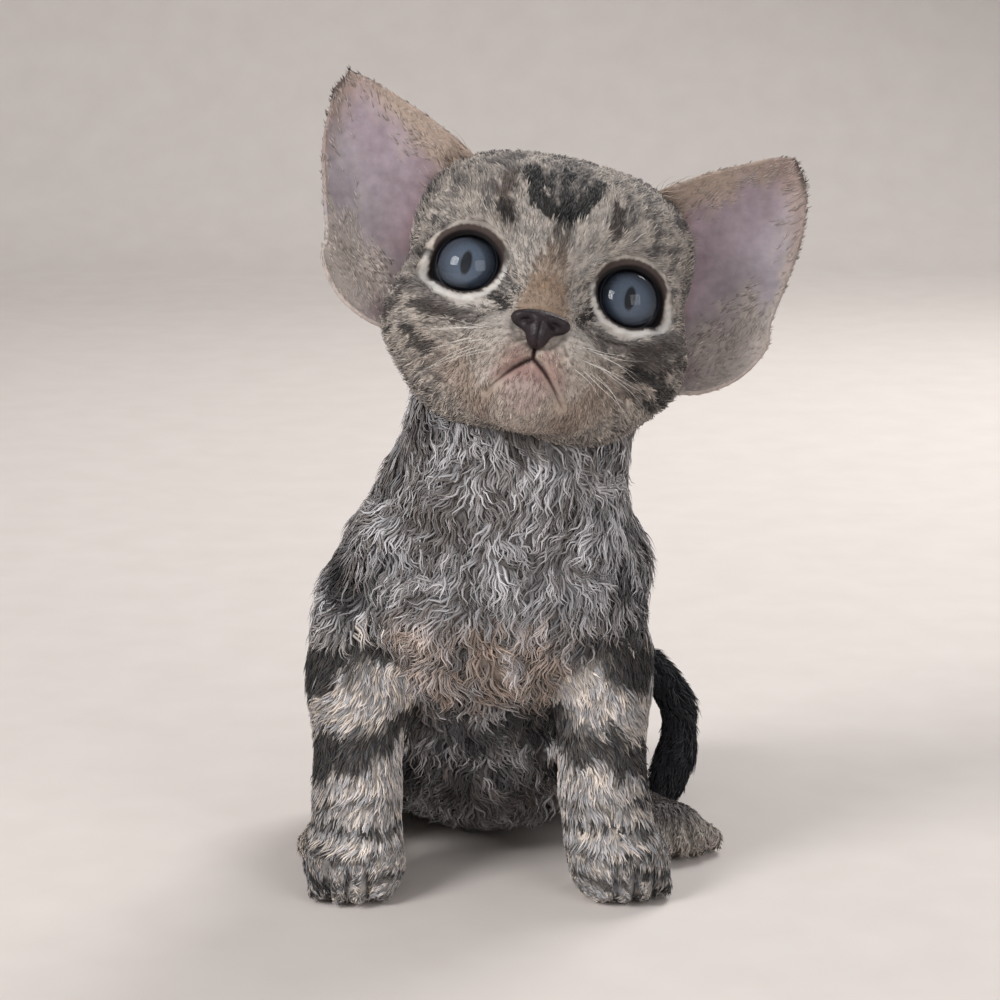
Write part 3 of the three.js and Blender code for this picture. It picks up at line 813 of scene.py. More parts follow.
def move_points(mesh: bpy.types.Mesh, points: Array) -> None:
    """Sets a mesh's corners from millimetres of the design frame."""
    mesh.vertices.foreach_set("co", metres(points).astype(np.float32).ravel())
    mesh.update()


def linked(name: str, data: bpy.types.ID) -> bpy.types.Object:
    """A new object in the scene."""
    made = bpy.data.objects.new(name, data)
    bpy.context.scene.collection.objects.link(made)
    return made


def smooth_faces(mesh: bpy.types.Mesh) -> None:
    """Makes every face of a mesh smooth."""
    mesh.polygons.foreach_set("use_smooth", np.ones(len(mesh.polygons), bool))


def from_bmesh(name: str, made: bmesh.types.BMesh) -> bpy.types.Object:
    """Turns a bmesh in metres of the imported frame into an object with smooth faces.

    Some operators leave the faces in another order on each run, so they are sorted by their corners, and
    the coat grows from the same places every time.

    Args:
        name: the object's name.
        made: the bmesh, which is freed.

    Returns:
        The object.
    """
    made.verts.index_update()
    places = [tuple(vertex.co) for vertex in made.verts]
    faces = sorted(([vertex.index for vertex in face.verts] for face in made.faces), key=sorted)
    made.free()
    mesh = bpy.data.meshes.new(name)
    mesh.from_pydata(places, [], faces)
    smooth_faces(mesh)
    return linked(name, mesh)


def apply(obj: bpy.types.Object, kind: str, **settings: object) -> None:
    """Adds a modifier with its settings and applies it.

    Args:
        obj: the object.
        kind: the modifier's type.
        settings: its settings.
    """
    modifier = obj.modifiers.new(kind.lower(), kind)
    for key, value in settings.items():
        setattr(modifier, key, value)
    graph = bpy.context.evaluated_depsgraph_get()
    graph.update()
    fresh = bpy.data.meshes.new_from_object(obj.evaluated_get(graph))
    old = obj.data
    obj.modifiers.clear()
    obj.data = fresh
    bpy.data.meshes.remove(old)


def joined(name: str, parts: list) -> bpy.types.Object:
    """Joins objects into the first one.

    Args:
        name: the name it is given.
        parts: the objects.

    Returns:
        The joined object.
    """
    with bpy.context.temp_override(active_object=parts[0], selected_editable_objects=parts, object=parts[0]):
        bpy.ops.object.join()
    parts[0].name = parts[0].data.name = name
    return parts[0]


def wrapped(form: Field, centre: Array, pole: Array, columns: int, rows: int, front_first: float,
            far: float) -> tuple:
    """Wraps a ball round a form, its pole towards the front and its rings closer there.

    Args:
        form: the field whose surface is wrapped.
        centre: the point that is wrapped round.
        pole: the way that the ball's pole looks.
        columns: faces round the ball.
        rows: faces from pole to pole.
        front_first: how much closer the rings lie at the pole, 1 where they lie evenly.
        far: how far out the surface is looked for, in millimetres.

    Returns:
        The ball as a bmesh and the place of each of its corners, in the form's own frame.
    """
    ball = bmesh.new()
    bmesh.ops.create_uvsphere(ball, u_segments=columns, v_segments=rows, radius=1)
    plain = np.array([v.co for v in ball.verts])
    along = pole / np.linalg.norm(pole)
    front = np.cross([1.0, 0.0, 0.0], along)
    front /= np.linalg.norm(front)
    side = np.cross(front, along)
    bent = np.pi * (np.arccos(np.clip(plain[:, 2], -1, 1)) / np.pi) ** front_first
    ring = np.maximum(np.hypot(plain[:, 0], plain[:, 1]), 1e-9)
    ways = (np.cos(bent)[:, None] * along + (plain[:, 0] / ring * np.sin(bent))[:, None] * side
            + (plain[:, 1] / ring * np.sin(bent))[:, None] * front)
    origins = np.tile(centre, (len(ways), 1))
    points = centre + ways * reach(form, origins, ways, far)[:, None]
    return ball, points


def settled(name: str, made: bmesh.types.BMesh, points: Array) -> bpy.types.Object:
    """Moves a bmesh's corners to their places, closes its seams, turns it outwards and makes it an object.

    Args:
        name: the object's name.
        made: the bmesh, which is freed.
        points: the place of each corner, in millimetres of the design frame.

    Returns:
        The object.
    """
    for vertex, place in zip(made.verts, metres(points)):
        vertex.co = place
    bmesh.ops.remove_doubles(made, verts=made.verts, dist=1e-7)
    bmesh.ops.recalc_face_normals(made, faces=made.faces)
    return from_bmesh(name, made)


PAWS = (((28.5, -19, 0), 14), ((-25.4, -19.5, 0), -4), ((40, 7, 0), 28), ((-29, 5, 0), -8))


def toe_gaps(points: Array) -> Array:
    """How near points are to the creases between the toes.

    Args:
        points: places in the design frame.

    Returns:
        From 0 away from them to 1 in a crease.
    """
    found = np.zeros(len(points))
    for place, heading in PAWS:
        local = (points - place) @ turn("Z", heading)
        for k in (-1, 0, 1):
            away = local[:, 0] - k * 3.9 * (1 - 0.04 * (local[:, 1] + 9))
            ahead = smoothstep(-5, -8.5, local[:, 1]) * smoothstep(11, 7, points[:, 2]) * (local[:, 1] > -20)
            found = np.maximum(found, np.exp(-(away / 0.6) ** 2) * ahead)
    return found


# ---------------- skin

# The skin's parts in the order in which they are joined, which the attribute "part" tells apart
HEAD_PART, EAR_PARTS, LID_PARTS, BODY_PART = 0, (1, 2), (3, 4), 5


@dataclass
class HeadSkin:
    """The head's own surface with its folds, lips and lids, a hair's depth inside the head node.

    Args:
        columns: faces round it.
        rows: faces from the muzzle to the nape.
        depth: how far it lies inside the node, in millimetres.
    """

    columns: int = 262
    rows: int = 164
    depth: float = 0.5

    def build(self) -> bpy.types.Object:
        """Wraps the head and models its face.

        Returns:
            The head's skin.
        """
        ball, points = wrapped(lambda p: FACE(p) + self.depth, np.array([0.0, 9.0, -2.0]),
                               np.array([0.0, -26.0, -14.0]), self.columns, self.rows, 1.28, 48)
        points = points + slopes(FACE, points) * self.relief(points)[:, None]
        points = self.sockets(points)
        log.info("head skin: %d corners", len(points))
        return settled("skin_head", ball, head_to_design(points))

    def relief(self, points: Array) -> Array:
        """Models the face's own forms: lips, whisker bumps, the nose's seat, brows and bags.

        Args:
            points: places in the head's frame.

        Returns:
            Their height over the smooth head, in millimetres.
        """
        away = near_mouth(points)
        height = -0.8 * mouth_width(points) * np.exp(-(away / 0.5) ** 2)
        out = np.clip(np.abs(points[:, 0]) / MOUTH_HALF, 0, 1.4)
        upper = points[:, 2] > MOUTH_TOP - MOUTH_FALL * out ** MOUTH_BEND
        height += np.where(upper, 0.45, 0.2) * np.exp(-((away - 1.5) / 0.9) ** 2)
        front = points[:, 1] < -8
        pads = np.zeros(len(points))
        for dot in WHISKER_DOTS:
            near = np.linalg.norm((points[front] - dot) * (1, 0.4, 1), axis=1)
            pads[front] += 0.22 * np.exp(-(near / 0.55) ** 2)
        height += pads
        nose = np.linalg.norm((points - NOSE_CENTRE) * (0.75, 1, 1), axis=1)
        height -= 0.8 * np.exp(-(np.maximum(nose - 3.2, 0) / 1.0) ** 2)
        for side in (LEFT, RIGHT):
            brow = np.linalg.norm((points - (side * 13, -7, 10.5)) * (0.5, 1, 1.2), axis=1)
            height += 0.7 * np.exp(-(brow / 3.4) ** 2)
            bag = np.linalg.norm((points - (side * 15, -7, -10.5)) * (0.45, 1, 1.4), axis=1)
            height -= 0.35 * np.exp(-(bag / 2.2) ** 2)
        return height

    def sockets(self, points: Array) -> Array:
        """Sinks the skin inside each eye's opening behind the eyeball.

        Args:
            points: places in the head's frame.

        Returns:
            The places with the sockets sunk.
        """
        made = points.copy()
        for side, _ in SIDES:
            middle, axis, out, up = eye_frame(side)
            local = made - middle
            a, u, v = local @ axis, local @ out, local @ up
            ratio = np.hypot(u / OPENING[0], v / OPENING[1]) / opening_shape(u, v)
            inside = (a > -2) & (ratio < 1.5)
            surface = np.sqrt(np.maximum(EYE_RADIUS ** 2 - u ** 2 - v ** 2, 9.0))
            sink = surface - 4.6
            blend = smoothstep(1.0, 1.42, ratio)
            target = sink * (1 - blend) + (a - 0.5 * (1 - blend)) * blend
            change = np.where(inside, np.minimum(target - a, 0), 0)
            made += change[:, None] * axis
        return made


@dataclass
class Lids:
    """The rims of the eyelids: a ring from the eyeball's surface over the rim and out onto the face.

    Args:
        around: faces round the eye.
        rings: rings from the eyeball to the face.
    """

    around: int = 132
    rings: int = 22

    def build(self, side: int, depth: float) -> bpy.types.Object:
        """Makes one eye's lids.

        Args:
            side: LEFT or RIGHT.
            depth: how far the head's skin lies inside its node.

        Returns:
            The lids.
        """
        middle, axis, out, up = eye_frame(side)
        band = bmesh.new()
        bmesh.ops.create_grid(band, x_segments=self.around, y_segments=self.rings - 1, size=0.5)
        sheet = np.array([v.co for v in band.verts]) + 0.5
        ratios = np.concatenate([np.linspace(0.93, 1.2, 12), np.linspace(1.24, 1.62, self.rings - 12)])
        ratio = ratios[np.rint(sheet[:, 1] * (self.rings - 1)).astype(int)]
        angle = 2 * np.pi * (np.rint(sheet[:, 0] * self.around) % self.around) / self.around
        wide = opening_shape(np.cos(angle) * OPENING[0], np.sin(angle) * OPENING[1])
        u, v = ratio * wide * OPENING[0] * np.cos(angle), ratio * wide * OPENING[1] * np.sin(angle)
        r = np.hypot(u, v)
        dome = CORNEA_FRONT - CORNEA_RADIUS + np.sqrt(np.maximum(CORNEA_RADIUS ** 2 - r ** 2, 0))
        globe = np.where(r < LIMBUS, dome, np.sqrt(np.maximum(EYE_RADIUS ** 2 - r ** 2, 4.0)))
        flat = (u[..., None] * out + v[..., None] * up + middle).reshape(-1, 3)
        ways = np.tile(axis, (len(flat), 1))
        skin = reach(lambda p: FACE(p) + depth, flat, ways, 22, 0.5).reshape(u.shape)
        top = smoothstep(-3, 5, v)
        edge = np.hypot(np.cos(angle) * OPENING[0], np.sin(angle) * OPENING[1]) * wide
        rest = np.sqrt(np.maximum(EYE_RADIUS ** 2 - edge ** 2, 6.0))
        crest = rest + 0.95 + 0.45 * top
        rise = smoothstep(0.93, 1.05, ratio)
        fall = smoothstep(1.06, 1.55, ratio)
        height = (globe - 0.15) * (1 - rise) + crest * rise
        height = height * (1 - fall) + (skin - 0.3 * smoothstep(1.45, 1.62, ratio)) * fall
        points = flat + height.reshape(-1, 1) * axis
        return settled(f"lids_{side}", band, head_to_design(points))


# The way that the inside of an ear looks, outwards and forwards, and how squarely skin must face it
EAR_LOOKS, EAR_INSIDE = np.array([0.25, -0.97, 0.0]), 0.05

# The ears' two edges from base to tip, in the head's frame
EDGES = {
    "medial": [[12, 9, 17], [18, 4.5, 24], [27, 5.5, 30], [36, 8, 34.8], [43.5, 10.5, 38.4],
               [47.4, 12, 39.6]],
    "lateral": [[24, 9, -13], [33, 7.5, -12.2], [40, 8, -8], [44.6, 9, -1], [44.8, 9.5, 3.5],
                [46.8, 10.2, 11], [49.6, 11.4, 23], [49.9, 12.2, 35]],
}

# The ridges inside an ear: their place across it, lean, height, length and half width
EAR_RIDGES = ((0.22, 0.25, 1.5, 0.55, 0.035), (0.36, 0.15, 1.1, 0.45, 0.03), (0.5, 0.05, 0.7, 0.35, 0.03),
              (0.78, -0.1, 0.9, 0.4, 0.04))


def through(points: list, count: int = 240) -> Array:
    """Draws a smooth line through points, at even steps of its parameter as a centripetal curve gives.

    Args:
        points: the points.
        count: how many points the line gets.

    Returns:
        The line's points.
    """
    p = np.array(points, float)
    p = np.vstack([2 * p[0] - p[1], p, 2 * p[-1] - p[-2]])
    spans = len(p) - 3
    t = np.linspace(0, spans - 1e-9, count)
    k = t.astype(int)
    f = (t - k)[:, None]
    a, b, c, d = p[k], p[k + 1], p[k + 2], p[k + 3]
    gaps = [np.maximum(np.linalg.norm(q, axis=1, keepdims=True) ** 0.5, 1e-4) for q in (b - a, c - b, d - c)]
    m1 = ((b - a) / gaps[0] - (c - a) / (gaps[0] + gaps[1]) + (c - b) / gaps[1]) * gaps[1]
    m2 = ((c - b) / gaps[1] - (d - b) / (gaps[1] + gaps[2]) + (d - c) / gaps[2]) * gaps[1]
    return ((2 * b - 2 * c + m1 + m2) * f ** 3 + (-3 * b + 3 * c - 2 * m1 - m2) * f ** 2 + m1 * f + b)


@dataclass
class Ear:
    """One cupped ear as a thin leaf with the folds inside its base and the pouch on its outer edge.

    Args:
        side: LEFT or RIGHT.
        rows: faces from base to tip.
        columns: faces from inner to outer edge.
        thickness: how thick the leaf is, in millimetres.
    """

    side: int
    rows: int = 62
    columns: int = 50
    thickness: float = 0.8

    def surface(self, t: Array, s: Array) -> Array:
        """Shapes the leaf's middle.

        Args:
            t: shares of the way from base to tip.
            s: shares of the way from inner to outer edge.

        Returns:
            Places in the head's frame.
        """
        lines = {name: through([[self.side * x, y, z] for x, y, z in edge]) for name, edge in EDGES.items()}
        steps = np.clip(t, 0, 1) * (len(lines["medial"]) - 1)
        low = np.minimum(steps.astype(int), len(lines["medial"]) - 2)
        part = (steps - low)[..., None]
        medial, lateral = (line[low] * (1 - part) + line[low + 1] * part
                           for line in (lines["medial"], lines["lateral"]))
        depth = EAR_CUP * np.maximum(1 - t, 0) ** 0.95 * np.sin(np.pi * np.clip(s, 0, 1)) ** 0.75
        depth = depth - self.folds(t, s)
        back = np.array([-self.side * 0.22, 0.97, 0.0])
        return medial * (1 - s[..., None]) + lateral * s[..., None] + depth[..., None] * back

    def folds(self, t: Array, s: Array) -> Array:
        """Shapes the ridges and the pouch inside the ear.

        Args:
            t: shares of the way from base to tip.
            s: shares of the way from inner to outer edge.

        Returns:
            Their height towards the front, in millimetres.
        """
        height = np.zeros(t.shape)
        for middle, lean, tall, length, wide in EAR_RIDGES:
            ridge = np.exp(-((s - middle - lean * t) / wide) ** 2)
            height += tall * ridge * smoothstep(length, length * 0.3, t)
        pouch = np.exp(-((t - 0.43) / 0.07) ** 2 - ((s - 0.93) / 0.07) ** 2)
        return height + 1.2 * pouch

    def build(self) -> bpy.types.Object:
        """Makes the leaf a closed thin solid.

        Returns:
            The ear's skin.
        """
        sheet = bmesh.new()
        bmesh.ops.create_grid(sheet, x_segments=self.columns, y_segments=self.rows, size=0.5)
        flat = np.array([v.co for v in sheet.verts])
        s, t = flat[:, 0] + 0.5, flat[:, 1] + 0.5
        t, s = np.clip(t, 0, 1), 0.5 - 0.5 * np.cos(np.pi * np.clip(s, 0, 1)) * 0.999
        points = self.surface(t, s)
        hinge = np.array([self.side * 24.0, 9.0, 4.0])
        points = (points - hinge) @ turn("Y", -self.side * EAR_RAISED[self.side]).T + hinge
        points = metres(head_to_design(points))
        for vertex, place in zip(sheet.verts, points):
            vertex.co = place
        bmesh.ops.recalc_face_normals(sheet, faces=sheet.faces)
        sheet.normal_update()
        bmesh.ops.solidify(sheet, geom=sheet.verts[:] + sheet.edges[:] + sheet.faces[:],
                           thickness=self.thickness * MM)
        if sheet.calc_volume(signed=True) < 0:
            bmesh.ops.reverse_faces(sheet, faces=sheet.faces)
        log.info("ear %d: %d faces", self.side, len(sheet.faces))
        tree = search_tree(points)
        nearest = np.array([tree.find(vertex.co)[1] for vertex in sheet.verts])
        made = from_bmesh(f"ear_skin_{self.side}", sheet)
        for name, values in (("leaf_t", t), ("leaf_s", s)):
            layer = made.data.attributes.new(name, "FLOAT", "POINT")
            layer.data.foreach_set("value", values[nearest].astype(np.float32))
        return made


@dataclass
class BodySkin:
    """The neck, trunk, legs and tail as one smooth surface inside their nodes by the coat's depth.

    Args:
        voxel: size of the cells that the nodes are joined in, in millimetres.
        depth: how far it lies inside the nodes, in millimetres.
    """

    voxel: float = 1.2
    depth: float = 1.0

    def build(self) -> bpy.types.Object:
        """Joins the nodes' forms, smooths them and draws them in.

        Returns:
            The body's skin.
        """
        copies = []
        for name in BODY:
            copy = linked("copy_" + name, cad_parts[name].data.copy())
            apply(copy, "DISPLACE", strength=0.3 * MM, mid_level=0.0)
            copies.append(copy)
        throat = bone((4.5, 0, 72), (11, -5, 106), 24.7, 21.7)
        ball, points = wrapped(throat, np.array([7.75, -2.5, 89.0]), np.array([0.0, 0.0, 1.0]),
                               60, 40, 1.0, 60)
        copies.append(settled("copy_throat", ball, points))
        body = joined("skin_body", copies)
        body.parent = None
        for key in list(body.keys()):
            del body[key]
        apply(body, "REMESH", mode="VOXEL", voxel_size=self.voxel * MM)
        self.smooth(body.data)
        log.info("body skin: %d faces", len(body.data.polygons))
        return body

    def smooth(self, mesh: bpy.types.Mesh) -> None:
        """Evens the surface out, most on the trunk, and sinks it by the coat's depth.

        Args:
            mesh: the body's mesh.
        """
        points = points_of(mesh)
        a, b = read(mesh.edges, "vertices", 2, np.int32).T
        degree = np.bincount(np.concatenate([a, b]), minlength=len(points))[:, None]
        feet = smoothstep(16, 9, points[:, 2])
        weight = (0.62 * (1 - 0.85 * feet))[:, None]
        for _ in range(20):
            total = np.zeros_like(points)
            for axis in range(3):
                total[:, axis] = (np.bincount(a, points[b, axis], len(points))
                                  + np.bincount(b, points[a, axis], len(points)))
            points = points + weight * (total / degree - points)
        move_points(mesh, points)
        smooth_faces(mesh)
        sunk = self.depth * (1 - 0.55 * feet) + 1.1 * toe_gaps(points)
        points = points - read(mesh.vertex_normals, "vector", 3) * sunk[:, None]
        points[:, 2] = np.maximum(points[:, 2], FLOOR_GAP)
        move_points(mesh, points)


@dataclass
class Skin:
    """The whole skin as one object, with its markings and its unwrap.

    Args:
        head: the head's skin.
        body: the body's skin.
    """

    head: HeadSkin = field(default_factory=HeadSkin)
    body: BodySkin = field(default_factory=BodySkin)

    def build(self) -> bpy.types.Object:
        """Builds and joins every part of the skin.

        Returns:
            The skin.
        """
        parts = [self.head.build()]
        parts += [Ear(side).build() for side, _ in SIDES]
        parts += [Lids().build(side, self.head.depth) for side, _ in SIDES]
        parts.append(self.body.build())
        for label, part in enumerate(parts):
            layer = part.data.attributes.new("part", "INT", "POINT")
            layer.data.foreach_set("value", np.full(len(part.data.vertices), label, np.int32))
        skin = joined("skin", parts)
        paint(skin, self.colours(skin))
        self.unwrap(skin)
        return skin

    def colours(self, skin: bpy.types.Object) -> Array:
        """Works out the coat's colour at every corner of the skin, darkened on the body and the head as
        painted shade in the gaps between the tufts.

        Args:
            skin: the joined skin.

        Returns:
            Linear colours, with that painted shade.
        """
        mesh = skin.data
        label = read(mesh.attributes["part"].data, "value", 1, np.int32)
        normals = read(mesh.vertex_normals, "vector", 3)
        # Painted shade: the skin under the tufts is darkened, to 0.55 on the body and 0.9 on the head, so
        # that the gaps between the tufts read as shadow.
        shade = np.where(label == BODY_PART, 0.55, np.where(np.isin(label, EAR_PARTS), 1.0, 0.9))
        return coat_colours(points_of(mesh), normals, label, leaf_of(mesh)) * shade[:, None]

    def unwrap(self, skin: bpy.types.Object) -> None:
        """Gives the skin its unwrap.

        Args:
            skin: the joined skin.
        """
        skin.data.uv_layers.new(name="OFBake")
        bpy.context.view_layer.objects.active = skin
        with bpy.context.temp_override(active_object=skin, selected_objects=[skin], object=skin):
            bpy.ops.object.mode_set(mode="EDIT")
            bpy.ops.mesh.select_all(action="SELECT")
            bpy.ops.uv.smart_project(angle_limit=math.radians(66), island_margin=0.002)
            bpy.ops.object.mode_set(mode="OBJECT")


def coat_colours(points: Array, normals: Array, label: Array, leaf: Array) -> Array:
    """Colours of the coat.

    Args:
        points: places in the design frame.
        normals: their outward directions.
        label: the part of the skin that each is on.
        leaf: on the ears, how far each lies towards the tip and towards the outer edge.

    Returns:
        Linear colours.
    """
    places = design_to_head(points)
    colours = np.zeros((len(points), 3))
    on_head = np.isin(label, (HEAD_PART, *LID_PARTS))
    colours[on_head] = head_colours(places[on_head])
    for one, (side, _) in zip(EAR_PARTS, SIDES):
        on_ear = label == one
        facing = normals[on_ear] @ HEAD_TURN
        inside = facing @ (EAR_LOOKS * (side, 1, 1)) > EAR_INSIDE
        colours[on_ear] = ear_colours(places[on_ear], inside, leaf[on_ear])
    on_body = label == BODY_PART
    colours[on_body] = body_colours(points[on_body], nearest_node(points[on_body]))
    # Painted shade: the colour darkens in the creases between the toes, where the skin is also sunk.
    colours[on_body] *= 1.18 * (1 - 0.55 * toe_gaps(points[on_body])[:, None])
    return np.clip(colours, 0, 1)


def leaf_of(mesh: bpy.types.Mesh) -> Array:
    """How far each corner of an ear lies towards the tip and towards the outer edge, 0 off the ears."""
    found = [read(mesh.attributes[name].data, "value") for name in ("leaf_t", "leaf_s")]
    return np.stack(found, axis=1).astype(float)


@cache
def body_tree() -> tuple:
    """Sorts the corners of the body's nodes for a search.

    Returns:
        The search tree and the node's name for each of its corners.
    """
    names, corners = [], []
    for name in BODY:
        found = points_of(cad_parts[name].data)
        names += [name] * len(found)
        corners.append(found)
    return search_tree(np.concatenate(corners)), np.array(names)


def nearest_node(points: Array) -> Array:
    """The name of the body node nearest to each point of the design frame."""
    tree, names = body_tree()
    return names[[tree.find(place)[1] for place in points]]


def paint(obj: bpy.types.Object, colours: Array) -> None:
    """Stores a colour at every corner of a mesh.

    Args:
        obj: the mesh's object.
        colours: linear colours.
    """
    layer = obj.data.color_attributes.new("coat_colour", "FLOAT_COLOR", "POINT")
    full = np.ones((len(colours), 4), np.float32)
    full[:, :3] = colours
    layer.data.foreach_set("color", full.ravel())


# ---------------- coat

# Radius of a tuft's patch of the unwrap, as a share of the whole
PATCH_RADIUS = 0.0015


@dataclass(frozen=True)
class Lock:
    """How one kind of tuft is made.

    Args:
        per_mm2: tufts on each square millimetre of skin.
        length: shortest and longest, in millimetres.
        width: width at the root.
        lift: how steeply it rises off the skin, as a share of its length.
        wave: sideways swing, in millimetres.
        turns: waves along its length.
        rings: cross sections from root to tip.
        clump: how far apart the clumps stand whose tips it leans to, in millimetres.
    """

    per_mm2: float
    length: tuple
    width: float
    lift: float
    wave: float
    turns: float
    rings: int
    clump: float


class Fur(Enum):
    """The kinds of tuft."""

    FACE = Lock(4.4, (1.4, 2.4), 0.23, 0.18, 0.08, 0.5, 3, 1.1)
    HEAD = Lock(2.5, (2.4, 3.8), 0.31, 0.2, 0.22, 0.7, 3, 1.8)
    EAR_BACK = Lock(2.0, (1.7, 2.8), 0.28, 0.2, 0.08, 0.5, 3, 1.3)
    EAR_FUZZ = Lock(3.0, (1.5, 2.8), 0.16, 0.25, 0.12, 0.5, 3, 1.3)
    EAR_LOCK = Lock(2.0, (3.0, 6.5), 0.17, 0.38, 0.5, 0.8, 4, 2.0)
    CURLY = Lock(1.36, (4.3, 6.8), 0.52, 0.2, 0.88, 1.12, 6, 2.7)
    LEG = Lock(2.5, (2.4, 4.0), 0.44, 0.14, 0.28, 0.8, 4, 1.7)
    FOOT = Lock(3.0, (1.7, 2.7), 0.34, 0.18, 0.1, 0.5, 3, 1.3)
    TAIL = Lock(2.8, (2.8, 4.4), 0.38, 0.17, 0.35, 1.0, 4, 1.8)


@dataclass
class Coat:
    """The tufts over the skin, in joined meshes.

    Args:
        skin: the skin that they grow on.
        rng: the source of every random draw.
        sown: how many roots are scattered on each square millimetre before each kind takes its share of them.
        sunk: how far the roots lie below the skin, in millimetres.
        most: the most triangles that a piece is given.
    """

    skin: bpy.types.Object
    rng: np.random.Generator = field(default_factory=lambda: np.random.default_rng(SEED))
    share: float = 1.0
    sown: float = 5.0
    sunk: float = 0.12
    most: int = 190_000

    def __post_init__(self) -> None:
        """Reads the skin's triangles, corners, normals, unwrap and parts."""
        mesh = self.skin.data
        mesh.calc_loop_triangles()
        self.corners = read(mesh.loop_triangles, "vertices", 3, np.int32)
        self.loops = read(mesh.loop_triangles, "loops", 3, np.int32)
        self.points = points_of(mesh)
        self.normals = read(mesh.vertex_normals, "vector", 3).astype(float)
        self.spread = read(mesh.uv_layers["OFBake"].data, "uv", 2)
        self.label = read(mesh.attributes["part"].data, "value", 1, np.int32)
        self.leaf = leaf_of(mesh)

    def grow(self) -> list:
        """Sows every kind of tuft.

        Returns:
            The pieces of the coat.
        """
        roots = self.sow(self.sown)
        made = []
        kinds = self.kinds(roots)
        for kind in Fur:
            chosen = np.flatnonzero(kinds == kind.name)
            keep = self.rng.random(len(chosen)) < kind.value.per_mm2 * self.share / self.sown
            chosen = chosen[keep]
            if not len(chosen):
                continue
            some = {key: value[chosen] for key, value in roots.items()}
            made += self.tufts(kind, some)
        return made

    def sow(self, density: float) -> dict:
        """Scatters roots over the skin.

        Args:
            density: how many stand on each square millimetre.

        Returns:
            Each root's place, normal, place in the unwrap, place on the ear and part of the skin.
        """
        a, b, c = (self.points[self.corners[:, i]] for i in range(3))
        area = np.linalg.norm(np.cross(b - a, c - a), axis=1) / 2
        area = np.where(np.isin(self.label[self.corners[:, 0]], LID_PARTS), 0, area)
        total = int(area.sum() * density)
        pick = np.searchsorted(np.cumsum(area), self.rng.random(total) * area.sum())
        pick = np.minimum(pick, len(area) - 1)
        r1, r2 = np.sqrt(self.rng.random(total)), self.rng.random(total)
        weights = np.stack([1 - r1, r1 * (1 - r2), r1 * r2], axis=1)[..., None]
        place = (self.points[self.corners[pick]] * weights).sum(axis=1)
        normal = (self.normals[self.corners[pick]] * weights).sum(axis=1)
        normal = unit(normal)
        spread = (self.spread[self.loops[pick]] * weights).sum(axis=1)
        leaf = (self.leaf[self.corners[pick]] * weights).sum(axis=1)
        return {"place": place, "normal": normal, "spread": spread, "leaf": leaf,
                "label": self.label[self.corners[pick, 0]]}

    def kinds(self, roots: dict) -> Array:
        """Chooses which kind of tuft grows at each root.

        Args:
            roots: the roots.

        Returns:
            The kinds' names, or none.
        """
        place, label = roots["place"], roots["label"]
        local = design_to_head(place)
        names = np.full(len(place), "none", dtype="<U10")
        on_head = label == HEAD_PART
        face = on_head & (local[:, 1] < 3)
        names[on_head] = "HEAD"
        names[face] = "FACE"
        ratio, _ = eye_distance(local)
        nose = np.linalg.norm((local - NOSE_CENTRE) * (0.8, 0.6, 1), axis=1)
        ahead = local - PARTING
        ahead = local + 1.1 * ahead / np.linalg.norm(ahead, axis=1)[:, None]
        names[on_head & ((ratio < 1.2) | (eye_distance(ahead)[0] < 1.18))] = "none"
        bare = (nose < 4.6) | (near_mouth(local) < 0.9) | (near_mouth(ahead) < 0.8)
        names[on_head & bare] = "none"
        on_ear = np.isin(label, EAR_PARTS)
        side = np.sign(local[:, 0])
        looks = EAR_LOOKS * np.stack([side, np.ones(len(side)), np.ones(len(side))], axis=1)
        facing = np.einsum("ij,ij->i", roots["normal"] @ HEAD_TURN, looks)
        names[on_ear & (facing < EAR_INSIDE)] = "EAR_BACK"
        furry = self.rng.random(len(place)) < ear_margin(roots["leaf"], local) ** 1.1
        names[on_ear & (facing >= EAR_INSIDE) & furry] = "EAR_FUZZ"
        base = (roots["leaf"][:, 0] < 0.3) & (roots["leaf"][:, 1] < 0.28)
        names[on_ear & (facing >= EAR_INSIDE) & base] = "EAR_LOCK"
        on_body = label == BODY_PART
        part = nearest_node(place[on_body])
        body = np.full(len(part), "CURLY", dtype="<U10")
        legs = np.char.startswith(part, "foreleg") | np.char.startswith(part, "hindleg")
        height = place[on_body][:, 2]
        bare = height + 4 * SWIRL(place[on_body])
        body[legs & (bare < np.where(place[on_body][:, 1] > 0, 20, 50))] = "LEG"
        body[legs & (height < 11)] = "FOOT"
        body[np.char.startswith(part, "tail")] = "TAIL"
        body[height < 0.6] = "none"
        names[on_body] = body
        inside = FACE(local) < -1.2
        names[on_body & inside] = "none"
        return names

